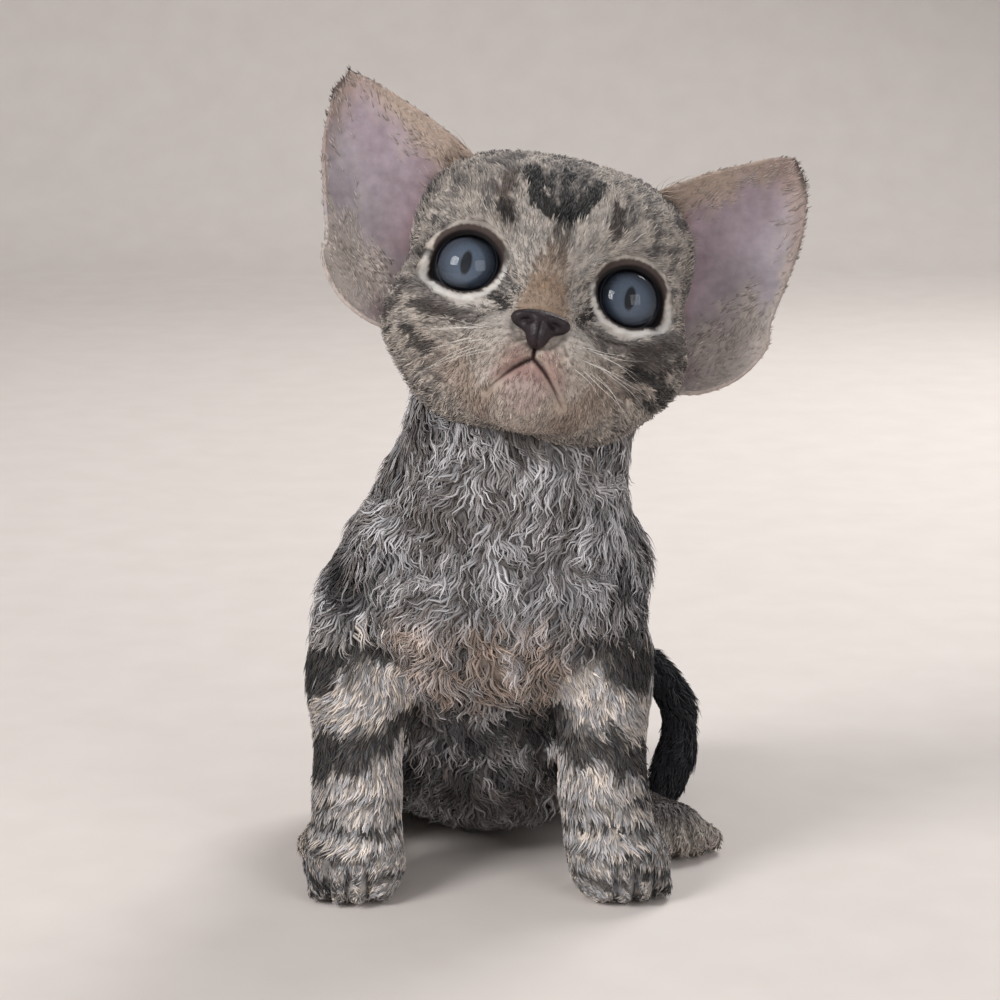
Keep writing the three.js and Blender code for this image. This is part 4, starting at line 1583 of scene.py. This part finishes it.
    def lie(self, kind: Fur, roots: dict) -> Array:
        """Finds the way the coat lies at each root, along the skin.

        Args:
            kind: the kind of tuft.
            roots: the roots.

        Returns:
            Unit directions.
        """
        place, normal = roots["place"], roots["normal"]
        local = design_to_head(place)
        if kind in (Fur.FACE, Fur.HEAD):
            way = (local - PARTING) @ HEAD_TURN.T
        elif kind in (Fur.EAR_BACK, Fur.EAR_FUZZ, Fur.EAR_LOCK):
            side = np.sign(local[:, 0])
            way = np.stack([side * 0.75, np.zeros(len(side)), np.full(len(side), 0.65)], axis=1)
            if kind is Fur.EAR_LOCK:
                way = way + np.stack([side * 0.5, np.full(len(side), -0.3), np.full(len(side), -0.1)], axis=1)
            way = way @ HEAD_TURN.T
        elif kind is Fur.TAIL:
            steps = through(TAIL.tolist(), 120)
            tangent = np.gradient(steps, axis=0)
            nearest = np.linalg.norm(place[:, None] - steps[None], axis=2).argmin(axis=1)
            way = tangent[nearest]
        else:
            back = smoothstep(-2, 14, place[:, 1])
            way = np.stack([0.012 * (place[:, 0] - 3), 0.8 * back - 0.05, -1 + 0.25 * back], axis=1)
            if kind is Fur.FOOT:
                way = np.tile([0.0, -1.0, -0.25], (len(place), 1))
        way = unit(along_skin(way, normal))
        sway = {Fur.CURLY: 0.75, Fur.LEG: 0.35, Fur.TAIL: 0.3, Fur.FOOT: 0.25}.get(kind, 0.22)
        angle = sway * LOCKS(place) + self.rng.normal(size=len(place)) * 0.16
        across = np.cross(normal, way)
        return way * np.cos(angle)[:, None] + across * np.sin(angle)[:, None]

    def tufts(self, kind: Fur, roots: dict) -> list:
        """Makes the tufts of one kind as tapering three-sided locks.

        Args:
            kind: the kind of tuft.
            roots: their roots.

        Returns:
            The pieces they are joined in.
        """
        lock = kind.value
        count = len(roots["place"])
        place, normal = roots["place"], roots["normal"]
        way = self.lie(kind, roots)
        across = np.cross(normal, way)
        clump, shade = self.clumps(place, lock.clump)
        length = self.rng.uniform(*lock.length, count)
        if kind is Fur.FACE:
            local = design_to_head(place)
            length *= 0.55 + 0.45 * smoothstep(4, 20, np.linalg.norm(local - NOSE_CENTRE, axis=1))
        if kind in (Fur.EAR_BACK, Fur.EAR_FUZZ):
            t, s = roots["leaf"].T
            length *= 0.55 + 0.45 * smoothstep(0.01, 0.14, np.minimum(1 - t, np.minimum(s, 1 - s)))
        width = lock.width * self.rng.uniform(0.75, 1.25, count)
        phase = 2.4 * WAVES(clump) + self.rng.uniform(-0.3, 0.3, count)
        rise = lock.lift * self.rng.uniform(0.7, 1.35, count)
        t = np.linspace(0, 1, lock.rings)[None, :, None]
        swing = np.sin(phase[:, None, None] + 2 * np.pi * lock.turns * t) - np.sin(phase)[:, None, None]
        bow = np.sin(np.pi * np.minimum(t * 1.05, 1)) * 0.35 + t * 0.75
        line = (place[:, None] + way[:, None] * length[:, None, None] * t
                + across[:, None] * swing * lock.wave * (0.3 + 0.7 * t)
                + normal[:, None] * (length * rise)[:, None, None] * bow - normal[:, None] * self.sunk)
        line = line + along_skin(clump - place, normal)[:, None] * 0.85 * t ** 0.7
        heading = unit(np.gradient(line, axis=1))
        flat = unit(np.cross(heading, normal[:, None]))
        upright = np.cross(flat, heading)
        taper = (1 - 0.96 * t ** 1.6) * (0.7 + 0.6 * np.sin(np.pi * np.clip(t * 0.9 + 0.15, 0, 1)))
        half = width[:, None, None] / 2 * taper
        ring = np.stack([line + flat * half, line - flat * half, line + upright * half * 0.55], axis=2)
        for made in (ring, line):
            made[..., 2] = np.maximum(made[..., 2], FLOOR_GAP)
        return self.pieces(kind, roots, ring[:, :-1], line[:, -1], shade)

    def clumps(self, place: Array, size: float) -> tuple:
        """Gathers roots into clumps.

        Args:
            place: the roots.
            size: rough distance between clumps, in millimetres.

        Returns:
            The middle of each root's clump and the clump's own lightness.
        """
        cells = np.floor(place / size + 0.35 * np.stack([WAVES(place), LOCKS(place), FINE(place)], axis=1))
        _, group = np.unique(cells.astype(int), axis=0, return_inverse=True)
        group = group.ravel()
        sizes = np.bincount(group)[:, None]
        middle = np.stack([np.bincount(group, place[:, i]) for i in range(3)], axis=1) / sizes
        shade = self.rng.uniform(0.72, 1.28, len(sizes))
        return middle[group], shade[group]

    def pieces(self, kind: Fur, roots: dict, rings: Array, tips: Array, lightness: Array) -> list:
        """Joins tufts into meshes under the size limit, with colours and their patches of the unwrap.

        Args:
            kind: the kind of tuft.
            roots: their roots.
            rings: the corners of each tuft's cross sections.
            tips: each tuft's tip.
            lightness: how light each tuft's clump is.

        Returns:
            The pieces.
        """
        count, steps = rings.shape[:2]
        each = steps * 3 + 1
        side = [(0, 1), (1, 2), (2, 0)]
        faces = [[0, 2, 1]]
        for k in range(steps - 1):
            for p, q in side:
                a, b, c, d = 3 * k + p, 3 * k + q, 3 * k + 3 + q, 3 * k + 3 + p
                faces += [[a, b, c], [a, c, d]]
        faces += [[3 * (steps - 1) + p, 3 * (steps - 1) + q, each - 1] for p, q in side]
        faces = np.array(faces)
        colours = coat_colours(roots["place"], roots["normal"], roots["label"], roots["leaf"])
        if kind is Fur.EAR_LOCK:
            colours = colours * 0.4 + (tone(Tone.TAN) * 0.3 + tone(Tone.PALE) * 0.3)
        if kind is Fur.EAR_FUZZ:
            colours = colours * 0.8 + tone(Tone.PALE) * 0.45
        strong = {Fur.CURLY: 1.5, Fur.LEG: 0.9, Fur.TAIL: 0.8, Fur.HEAD: 1.0, Fur.FACE: 0.9,
                  Fur.EAR_BACK: 1.1, Fur.FOOT: 0.8}.get(kind, 0.5)
        shade = self.rng.uniform(0.85, 1.17, (count, 1)) * (1 + strong * (lightness[:, None] - 1))
        colours = np.clip(colours * shade, 0, 1)
        most = self.most // len(faces)
        made = []
        for number, start in enumerate(range(0, count, most)):
            some = slice(start, min(start + most, count))
            n = some.stop - some.start
            points = np.concatenate([rings[some].reshape(n, -1, 3), tips[some][:, None]], axis=1)
            index = (faces[None] + np.arange(n)[:, None, None] * each).reshape(-1, 3)
            piece = Shape(points.reshape(-1, 3), index).to_object(f"coat_{kind.name.lower()}_{number + 1}")
            self.colour(piece, colours[some], steps)
            self.patch(piece, roots["spread"][some], index, each)
            made.append(piece)
            log.info("%s: %d tufts, %d triangles", piece.name, n, len(index))
        return made

    def colour(self, piece: bpy.types.Object, colours: Array, steps: int) -> None:
        """Darkens each tuft's root as painted shade where the hair crowds at the skin, and lightens its tip
        for the silver of the hair's tips.

        Args:
            piece: the joined tufts.
            colours: each tuft's own colour.
            steps: how many cross sections a tuft has.
        """
        t = np.concatenate([np.repeat(np.arange(steps) / steps, 3), [1.0]])
        # Painted shade at the root, 0.62, rising to 1.24 at the tip.
        paint(piece, (colours[:, None] * (0.62 + 0.62 * t)[None, :, None]).reshape(-1, 3))

    def patch(self, piece: bpy.types.Object, spread: Array, index: Array, each: int) -> None:
        """Sets each tuft's part of the unwrap to a small patch at its root.

        Args:
            piece: the joined tufts.
            spread: each root's place in the unwrap.
            index: the corners of every face.
            each: how many corners a tuft has.
        """
        layer = piece.data.uv_layers.new(name="OFBake")
        angle = np.arange(each) * 2.4
        within = np.stack([np.cos(angle), np.sin(angle)], axis=1) * PATCH_RADIUS
        flat = index.reshape(-1)
        layer.data.foreach_set("uv", (spread[flat // each] + within[flat % each]).astype(np.float32).ravel())


# ---------------- eyes, nose, whiskers


def finishing(name: str) -> tuple:
    """A new material with its node tree and its shader, ready for settings."""
    made = bpy.data.materials.new(name)
    made.use_nodes = True
    return made, made.node_tree, made.node_tree.nodes["Principled BSDF"]


def node(tree: bpy.types.NodeTree, kind: str, settings: dict | None = None,
         links: dict | None = None) -> bpy.types.Node:
    """Adds a node, sets its properties or sockets and links its inputs.

    Args:
        tree: the node tree.
        kind: the node's type.
        settings: property or input names with their values.
        links: input names with the sockets that feed them.

    Returns:
        The node.
    """
    made = tree.nodes.new(kind)
    fill(made, settings, links)
    return made


def fill(made: bpy.types.Node, settings: dict | None = None, links: dict | None = None) -> None:
    """Does the same to a node that is there already.

    Args:
        made: the node.
        settings: property or input names with their values.
        links: input names with the sockets that feed them.
    """
    for key, value in (settings or {}).items():
        if hasattr(made, key):
            setattr(made, key, value)
        else:
            made.inputs[key].default_value = value
    for key, socket in (links or {}).items():
        made.id_data.links.new(socket, made.inputs[key])


def two_tones(share: bpy.types.NodeSocket, first: str, second: str) -> bpy.types.NodeSocket:
    """Mixes two colours, as sRGB hex, by a socket's share.

    Args:
        share: the socket.
        first: the colour at 0.
        second: the colour at 1.

    Returns:
        The socket with the mixed colour.
    """
    mixed = node(share.id_data, "ShaderNodeMix",
                 {"data_type": "RGBA", "A": (*linear(first), 1), "B": (*linear(second), 1)},
                 {"Factor": share})
    return mixed.outputs["Result"]


@dataclass(frozen=True)
class Finish:
    """A coat or skin finish that takes its colour from the markings.

    Args:
        name: the material's name.
        roughness: how dull it is.
        grain: size of the fine bumps, in millimetres.
        bump: how far they stand out, in millimetres.
        sheen: how much it glows at grazing angles.
        through: how much light passes under its surface.
        ior: how strongly it bends light.
    """

    name: str
    roughness: float
    grain: float
    bump: float
    sheen: float
    through: float
    ior: float

    def make(self) -> bpy.types.Material:
        """Builds the material.

        Returns:
            The material.
        """
        made, tree, shader = finishing(self.name)
        colour = node(tree, "ShaderNodeVertexColor", {"layer_name": "coat_colour"})
        place = node(tree, "ShaderNodeTexCoord")
        noise = node(tree, "ShaderNodeTexNoise", {"Scale": 1 / (self.grain * MM), "Detail": 4.0},
                     {"Vector": place.outputs["Object"]})
        wide = node(tree, "ShaderNodeTexNoise", {"Scale": 1 / (6 * self.grain * MM), "Detail": 2.0},
                    {"Vector": place.outputs["Object"]})
        spread = node(tree, "ShaderNodeMapRange",
                      {"From Min": 0.3, "From Max": 0.7, "To Min": 0.88, "To Max": 1.12},
                      {"Value": wide.outputs["Fac"]})
        mixed = node(tree, "ShaderNodeVectorMath", {"operation": "SCALE"},
                     {"Vector": colour.outputs["Color"], "Scale": spread.outputs["Result"]})
        rough = node(tree, "ShaderNodeMapRange",
                     {"To Min": self.roughness - 0.08, "To Max": min(self.roughness + 0.08, 1.0)},
                     {"Value": noise.outputs["Fac"]})
        bump = node(tree, "ShaderNodeBump", {"Strength": 0.6, "Distance": self.bump * MM},
                    {"Height": noise.outputs["Fac"]})
        fill(shader, {"Sheen Weight": self.sheen, "Sheen Roughness": 0.5, "IOR": self.ior,
                      "Specular IOR Level": 0.2, "Subsurface Weight": self.through,
                      "Subsurface Radius": (0.0018, 0.0008, 0.0006), "Subsurface Scale": 1.0},
             {"Base Color": mixed.outputs["Vector"], "Roughness": rough.outputs["Result"],
              "Normal": bump.outputs["Normal"]})
        return made


# Living skin under thin down is soft and matt, and light passes under its surface, so ears and lips glow a
# little. Its grain of 0.35 mm is drawn coarser than real pores, so that it shows.
SKIN_FINISH = Finish("living_skin", 0.72, 0.35, 0.12, 0.1, 0.12, 1.4)
# The hair of a Devon Rex is short, soft and curled, with hardly any glossy guard hairs: dull, with a faint
# light at its edges. A tuft stands for a few dozen hairs, and its grain of 0.25 mm for the single ones.
COAT_FINISH = Finish("kitten_hair", 0.75, 0.25, 0.03, 0.12, 0.0, 1.55)


@dataclass
class Eye:
    """One eyeball: white, iris with its slit, and the clear cornea over them.

    Args:
        side: LEFT or RIGHT.
    """

    side: int

    def lathe(self, name: str, profile: Array, columns: int = 96) -> bpy.types.Object:
        """Turns a profile about the eye's axis.

        Args:
            name: the object's name.
            profile: its radii and heights, in millimetres.
            columns: faces round it.

        Returns:
            The turned form in its place.
        """
        middle, axis, out, up = eye_frame(self.side)
        made = bmesh.new()
        chain = [made.verts.new((r, 0.0, a)) for r, a in profile]
        edges = [made.edges.new(pair) for pair in zip(chain[:-1], chain[1:])]
        bmesh.ops.spin(made, geom=chain + edges, cent=(0, 0, 0), axis=(0, 0, 1), angle=2 * math.pi,
                       steps=columns, use_merge=True, use_duplicate=False)
        bmesh.ops.remove_doubles(made, verts=made.verts, dist=1e-4)
        bmesh.ops.recalc_face_normals(made, faces=made.faces)
        flat = np.array([vertex.co[:2] for vertex in made.verts]) / LIMBUS
        for vertex in made.verts:
            x, y, a = vertex.co
            local = middle + out * x + up * y + axis * a
            vertex.co = metres(head_to_design(local))
        if np.dot(np.cross(out, up), axis) < 0:
            bmesh.ops.reverse_faces(made, faces=made.faces)
        turned = from_bmesh(name, made)
        layer = turned.data.uv_layers.new(name="eye")
        layer.data.foreach_set("uv", flat[read(turned.data.loops, "vertex_index", 1, np.int32)].ravel())
        return turned

    def build(self, name: str) -> list:
        """Makes the eyeball and its cornea.

        Args:
            name: the node that the eyeball replaces.

        Returns:
            The two objects.
        """
        limbus = math.sqrt(EYE_RADIUS ** 2 - LIMBUS ** 2)
        ball = [(EYE_RADIUS * math.sin(b), -EYE_RADIUS * math.cos(b))
                for b in np.linspace(0, math.pi - math.asin(LIMBUS / EYE_RADIUS), 44)]
        iris = [(LIMBUS * (1 - 0.02), limbus - 0.15)]
        iris += [(LIMBUS * s, limbus - 0.35 + 0.55 * (1 - s)) for s in np.linspace(0.95, 0, 26)]
        globe = self.lathe(f"{name}_globe", np.array(ball + iris))
        bulge = math.asin(LIMBUS / CORNEA_RADIUS)
        dome = [(CORNEA_RADIUS * math.sin(b), CORNEA_FRONT - CORNEA_RADIUS + CORNEA_RADIUS * math.cos(b))
                for b in np.linspace(bulge + 0.03, 0, 26)]
        cornea = self.lathe(f"{name}_cornea", np.array(dome))
        globe.data.materials.append(iris_material())
        cornea.data.materials.append(cornea_material())
        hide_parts(name)
        log.info("%s: %d and %d faces", name, len(globe.data.polygons), len(cornea.data.polygons))
        return [globe, cornea]


@cache
def iris_material() -> bpy.types.Material:
    """Blue-grey iris with radial fibres, a dark rim and an upright slit; the rest of the eyeball is as dark
    as the rim.

    Returns:
        The material, the same for both eyes.
    """
    # An iris is layered fibres behind clear fluid: matt in itself, and streaked from the slit outwards.
    made, tree, shader = finishing("iris_fibres")
    flat = node(tree, "ShaderNodeUVMap", {"uv_map": "eye"})
    split = node(tree, "ShaderNodeSeparateXYZ", links={"Vector": flat.outputs["UV"]})
    x, y = split.outputs["X"], split.outputs["Y"]

    def calc(operation: str, a: object, b: object = 0.0) -> bpy.types.NodeSocket:
        """Adds a sum of two sockets or numbers to the tree."""
        step = node(tree, "ShaderNodeMath", {"operation": operation})
        for i, value in enumerate((a, b)):
            if isinstance(value, (int, float)):
                step.inputs[i].default_value = value
            else:
                tree.links.new(value, step.inputs[i])
        return step.outputs[0]

    radius = calc("SQRT", calc("ADD", calc("MULTIPLY", x, x), calc("MULTIPLY", y, y)))
    angle = calc("ARCTAN2", y, x)
    polar = node(tree, "ShaderNodeCombineXYZ", links={"X": calc("MULTIPLY", angle, 3.0),
                                                      "Y": calc("MULTIPLY", radius, 1.2)})
    fibres = node(tree, "ShaderNodeTexNoise", {"Scale": 7.0, "Detail": 5.0, "Roughness": 0.65},
                  {"Vector": polar.outputs["Vector"]})
    ramp = node(tree, "ShaderNodeValToRGB", links={"Fac": calc("MULTIPLY", radius, 0.9)})
    stops = ((0.0, "454e5b"), (0.3, "535e6c"), (0.62, "495463"), (0.82, "303845"), (0.92, "11141d"),
             (1.0, "08090e"))
    elements = ramp.color_ramp.elements
    for i, (where, code) in enumerate(stops):
        spot = elements[i] if i < 2 else elements.new(where)
        spot.position = where
        spot.color = (*linear(code), 1)
    light = node(tree, "ShaderNodeMapRange", {"From Min": 0.3, "From Max": 0.7, "To Min": 0.6, "To Max": 1.1},
                 {"Value": fibres.outputs["Fac"]})
    iris = node(tree, "ShaderNodeVectorMath", {"operation": "SCALE"},
                {"Vector": ramp.outputs["Color"], "Scale": light.outputs["Result"]})
    slit = calc("SQRT", calc("ADD", calc("POWER", calc("DIVIDE", x, 0.19), 2.0),
                             calc("POWER", calc("DIVIDE", y, 0.43), 2.0)))
    dark = node(tree, "ShaderNodeMapRange",
                {"From Min": 0.82, "From Max": 1.12, "To Min": 1.0, "To Max": 0.0}, {"Value": slit})
    mixed = node(tree, "ShaderNodeMix", {"data_type": "RGBA", "B": (0.004, 0.005, 0.008, 1)},
                 {"Factor": dark.outputs["Result"], "A": iris.outputs["Vector"]})
    bump = node(tree, "ShaderNodeBump", {"Strength": 0.5, "Distance": 0.2 * MM},
                {"Height": fibres.outputs["Fac"]})
    fill(shader, {"Roughness": 0.45, "Specular IOR Level": 0.2},
         {"Base Color": mixed.outputs["Result"], "Normal": bump.outputs["Normal"]})
    return made


@cache
def cornea_material() -> bpy.types.Material:
    """Clear and wet: what lies behind shows, with sharp highlights on top.

    Returns:
        The material, the same for both eyes.
    """
    # A cornea is clear tissue with a film of tears: nothing is seen of it but its sharp highlights.
    made, tree, shader = finishing("wet_cornea")
    tree.nodes.remove(shader)
    clear = node(tree, "ShaderNodeBsdfTransparent", {"Color": (0.97, 0.98, 1.0, 1)})
    shine = node(tree, "ShaderNodeBsdfGlossy", {"Roughness": 0.03})
    weight = node(tree, "ShaderNodeFresnel", {"IOR": 1.38})
    mix = node(tree, "ShaderNodeMixShader",
               links={"Fac": weight.outputs["Fac"], 1: clear.outputs["BSDF"], 2: shine.outputs["BSDF"]})
    fill(tree.nodes["Material Output"], links={"Surface": mix.outputs["Shader"]})
    return made


@dataclass
class Nose:
    """The nose leather, an inverted triangle with a comma of a nostril on each side.

    Args:
        columns: faces round it.
        rows: faces from front to back.
    """

    columns: int = 120
    rows: int = 80

    def build(self) -> bpy.types.Object:
        """Wraps the leather and sinks its nostrils and the groove down its middle.

        Returns:
            The nose.
        """
        ball, points = wrapped(LEATHER, NOSE_CENTRE, np.array([0.0, -1.0, 0.0]), self.columns,
                               self.rows, 1.0, 12)
        normals = slopes(LEATHER, points)
        height = np.zeros(len(points))
        for side in (LEFT, RIGHT):
            near = points - (side * 3.1, -20.3, -13.3)
            near = near @ turn("Y", side * 28)
            away = np.linalg.norm(near / (1.55, 1.6, 0.8), axis=1)
            height -= 1.3 * np.exp(-away ** 2.6)
            wing = np.linalg.norm((points - (side * 4.0, -19.4, -11.9)) / (1.8, 2.0, 0.9), axis=1)
            height += 0.3 * np.exp(-wing ** 2)
        groove = (points[:, 2] < -13.0) & (points[:, 1] < -18)
        height -= np.where(groove, 0.45 * np.exp(-(points[:, 0] / 0.35) ** 2), 0)
        nose = settled("nose_leather", ball, head_to_design(points + normals * height[:, None]))
        nose.data.materials.append(nose_material())
        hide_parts("nose")
        log.info("nose leather: %d faces", len(nose.data.polygons))
        return nose


def nose_material() -> bpy.types.Material:
    """Dark leather with fine pebbles and a slight damp shine.

    Returns:
        The material.
    """
    # Nose leather is bare thick skin with a layer of keratin, pebbled every 0.5 mm and a little damp: nearly
    # black, with a soft broken shine.
    made, tree, shader = finishing("nose_leather")
    place = node(tree, "ShaderNodeTexCoord")
    cells = node(tree, "ShaderNodeTexVoronoi", {"Scale": 1 / (0.5 * MM)}, {"Vector": place.outputs["Object"]})
    noise = node(tree, "ShaderNodeTexNoise", {"Scale": 1 / (2.5 * MM)}, {"Vector": place.outputs["Object"]})
    bump = node(tree, "ShaderNodeBump", {"Strength": 0.5, "Distance": 0.12 * MM},
                {"Height": cells.outputs["Distance"]})
    fill(shader, {"Roughness": 0.45, "Specular IOR Level": 0.3},
         {"Base Color": two_tones(noise.outputs["Fac"], "1e1619", "32272b"),
          "Normal": bump.outputs["Normal"]})
    return made


@dataclass
class Whiskers:
    """Fine tapering whiskers from the muzzle pads and a few over the eyes.

    Args:
        radius: radius at the root, in millimetres.
        steps: cross sections from root to tip.
        sides: corners of a cross section.
    """

    radius: float = 0.06
    steps: int = 12
    sides: int = 5

    def build(self) -> bpy.types.Object:
        """Makes all of them as one mesh.

        Returns:
            The whiskers.
        """
        rng = np.random.default_rng(SEED + 1)
        made = []
        for side in (LEFT, RIGHT):
            for row in range(3):
                for k in range(4):
                    root = np.array([side * (7.0 + 1.9 * k), -17.2 + 0.6 * k ** 1.5, -15.4 - 1.9 * row])
                    way = np.array([side, -0.12 + 0.2 * k, 0.02 - 0.24 * row])
                    made.append(self.one(root, way, rng.uniform(8, 14), rng.uniform(-0.35, 0.1)))
            for k in range(2):
                root = np.array([side * (12.5 + 2.5 * k), -7.5, 11.0])
                made.append(self.one(root, np.array([side * 0.7, -0.2, 0.7]), rng.uniform(3.5, 5), 0.2))
        whiskers = joined("whiskers", made)
        whiskers.data.materials.append(whisker_material())
        log.info("whiskers: %d of them, %d faces", len(made), len(whiskers.data.polygons))
        return whiskers

    def one(self, root: Array, way: Array, length: float, droop: float) -> bpy.types.Object:
        """Makes one whisker: a slim cone, cut into rings and bent.

        Args:
            root: where it leaves the skin, in the head's frame.
            way: which way it grows.
            length: how long it is, in millimetres.
            droop: how far its end hangs, as a share of its length.

        Returns:
            The whisker.
        """
        way = way / np.linalg.norm(way)
        across = np.cross(way, [0.0, 0.0, 1.0])
        across /= np.linalg.norm(across)
        upright = np.cross(across, way)
        cone = bmesh.new()
        bmesh.ops.create_cone(cone, cap_ends=True, segments=self.sides, radius1=self.radius,
                              radius2=self.radius * 0.15, depth=1.0)
        long = [edge for edge in cone.edges if abs(edge.verts[0].co.z - edge.verts[1].co.z) > 0.5]
        bmesh.ops.subdivide_edges(cone, edges=long, cuts=self.steps - 2, use_grid_fill=True)
        x, y, z = np.array([v.co for v in cone.verts]).T[:, :, None]
        t = z + 0.5
        points = (root + way * (length * t - 0.8) + np.array([0, 0.35, 1.0]) * droop * length * t * t
                  + upright * 0.25 * np.sin(9 * t + length) * t + across * x + upright * y)
        return settled("whisker", cone, head_to_design(points))


def whisker_material() -> bpy.types.Material:
    """Whisker keratin, pale and smooth.

    Returns:
        The material.
    """
    # Whiskers are thick hairs of smooth keratin: nearly white, with a soft line of shine along them.
    made, tree, shader = finishing("whisker_keratin")
    shade = node(tree, "ShaderNodeTexNoise", {"Scale": 1 / (4 * MM)},
                 {"Vector": node(tree, "ShaderNodeTexCoord").outputs["Object"]})
    fill(shader, {"IOR": 1.55, "Roughness": 0.4},
         {"Base Color": two_tones(shade.outputs["Fac"], "cfc8c0", "eeeae4")})
    return made


# ---------------- studio


@dataclass
class Studio:
    """The floor, the lights and the camera.

    Args:
        target: the point that the camera looks at, in millimetres of the design frame.
        elevation: how steeply it looks down, in degrees.
        distance: how far off it stands, in millimetres.
        focal: its focal length in pixels of a frame 1000 wide.
    """

    target: tuple = (4.2, -15.0, 80.0)
    elevation: float = 12.0
    distance: float = 620.0
    focal: float = 3100.0

    def build(self) -> None:
        """Sets everything up round the kitten."""
        self.floor()
        self.lights()
        self.camera()
        log.info("studio: floor, %d lights and camera", len(bpy.data.lights))

    def floor(self) -> None:
        """A pale plain floor that rises into a backdrop far behind."""
        made = bmesh.new()
        bmesh.ops.create_grid(made, x_segments=40, y_segments=60, size=1.0)
        for vertex in made.verts:
            x, y = vertex.co.x * 3.0, vertex.co.y * 3.0
            rise = max(0.0, y - 0.9)
            vertex.co = (x, min(y, 0.9 + 0.6 * math.tanh(rise)), 1.2 * rise * rise / (rise + 0.35))
        floor = from_bmesh("floor", made)
        # Matt paper, as a studio's backdrop: even, pale and without shine.
        material, tree, shader = finishing("matt_paper")
        noise = node(tree, "ShaderNodeTexNoise", {"Scale": 60.0},
                     {"Vector": node(tree, "ShaderNodeTexCoord").outputs["Object"]})
        fill(shader, {"Roughness": 0.85}, {"Base Color": two_tones(noise.outputs["Fac"], "cfc6c0", "d8d0ca")})
        floor.data.materials.append(material)

    def lights(self) -> None:
        """A large soft key from the front left, a fill and a rim, over a dim even sky."""
        for name, place, size, power in (
            ("key", (-0.72, -0.52, 0.60), 0.42, 7.8),
            ("fill", (0.55, -0.75, 0.38), 0.55, 2.9),
            ("rim", (0.35, 0.6, 0.6), 0.4, 5.0),
        ):
            light = bpy.data.lights.new(name, "AREA")
            light.size, light.energy = size, power
            lamp = linked(name, light)
            lamp.location = place
            lamp.rotation_euler = (Vector((0, 0, 0.08)) - Vector(place)).to_track_quat("-Z", "Y").to_euler()
        world = bpy.data.worlds.new("studio")
        world.use_nodes = True
        sky = world.node_tree.nodes["Background"]
        sky.inputs["Color"].default_value = (0.93, 0.93, 0.96, 1)
        sky.inputs["Strength"].default_value = 0.38
        bpy.context.scene.world = world
        bpy.context.scene.view_settings.view_transform = "Standard"

    def camera(self) -> None:
        """The camera at the photo's angle and distance."""
        tilt = math.radians(self.elevation)
        way = Vector((0, math.cos(tilt), -math.sin(tilt)))
        lens = bpy.data.cameras.new("camera")
        lens.sensor_width = 36.0
        lens.lens = self.focal / 1000 * 36
        lens.clip_start, lens.clip_end = 0.02, 20
        camera = linked("camera", lens)
        camera.location = Vector(metres(np.array(self.target))) - way * self.distance * MM
        camera.rotation_euler = way.to_track_quat("-Z", "Y").to_euler()
        bpy.context.scene.camera = camera


def main() -> None:
    """Builds the kitten over the frame."""
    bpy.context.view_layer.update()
    skin = Skin().build()
    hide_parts(*FLESH)
    skin.data.materials.clear()
    skin.data.materials.append(SKIN_FINISH.make())
    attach(skin, "root")
    coat = COAT_FINISH.make()
    for piece in Coat(skin, share=1.0).grow():
        piece.data.materials.append(coat)
        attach(piece, "root")
    for side, name in SIDES:
        for piece in Eye(side).build(f"eye_{name}"):
            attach(piece, "root")
    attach(Nose().build(), "root")
    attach(Whiskers().build(), "root")
    Studio().build()


if __name__ == "__main__":
    main()
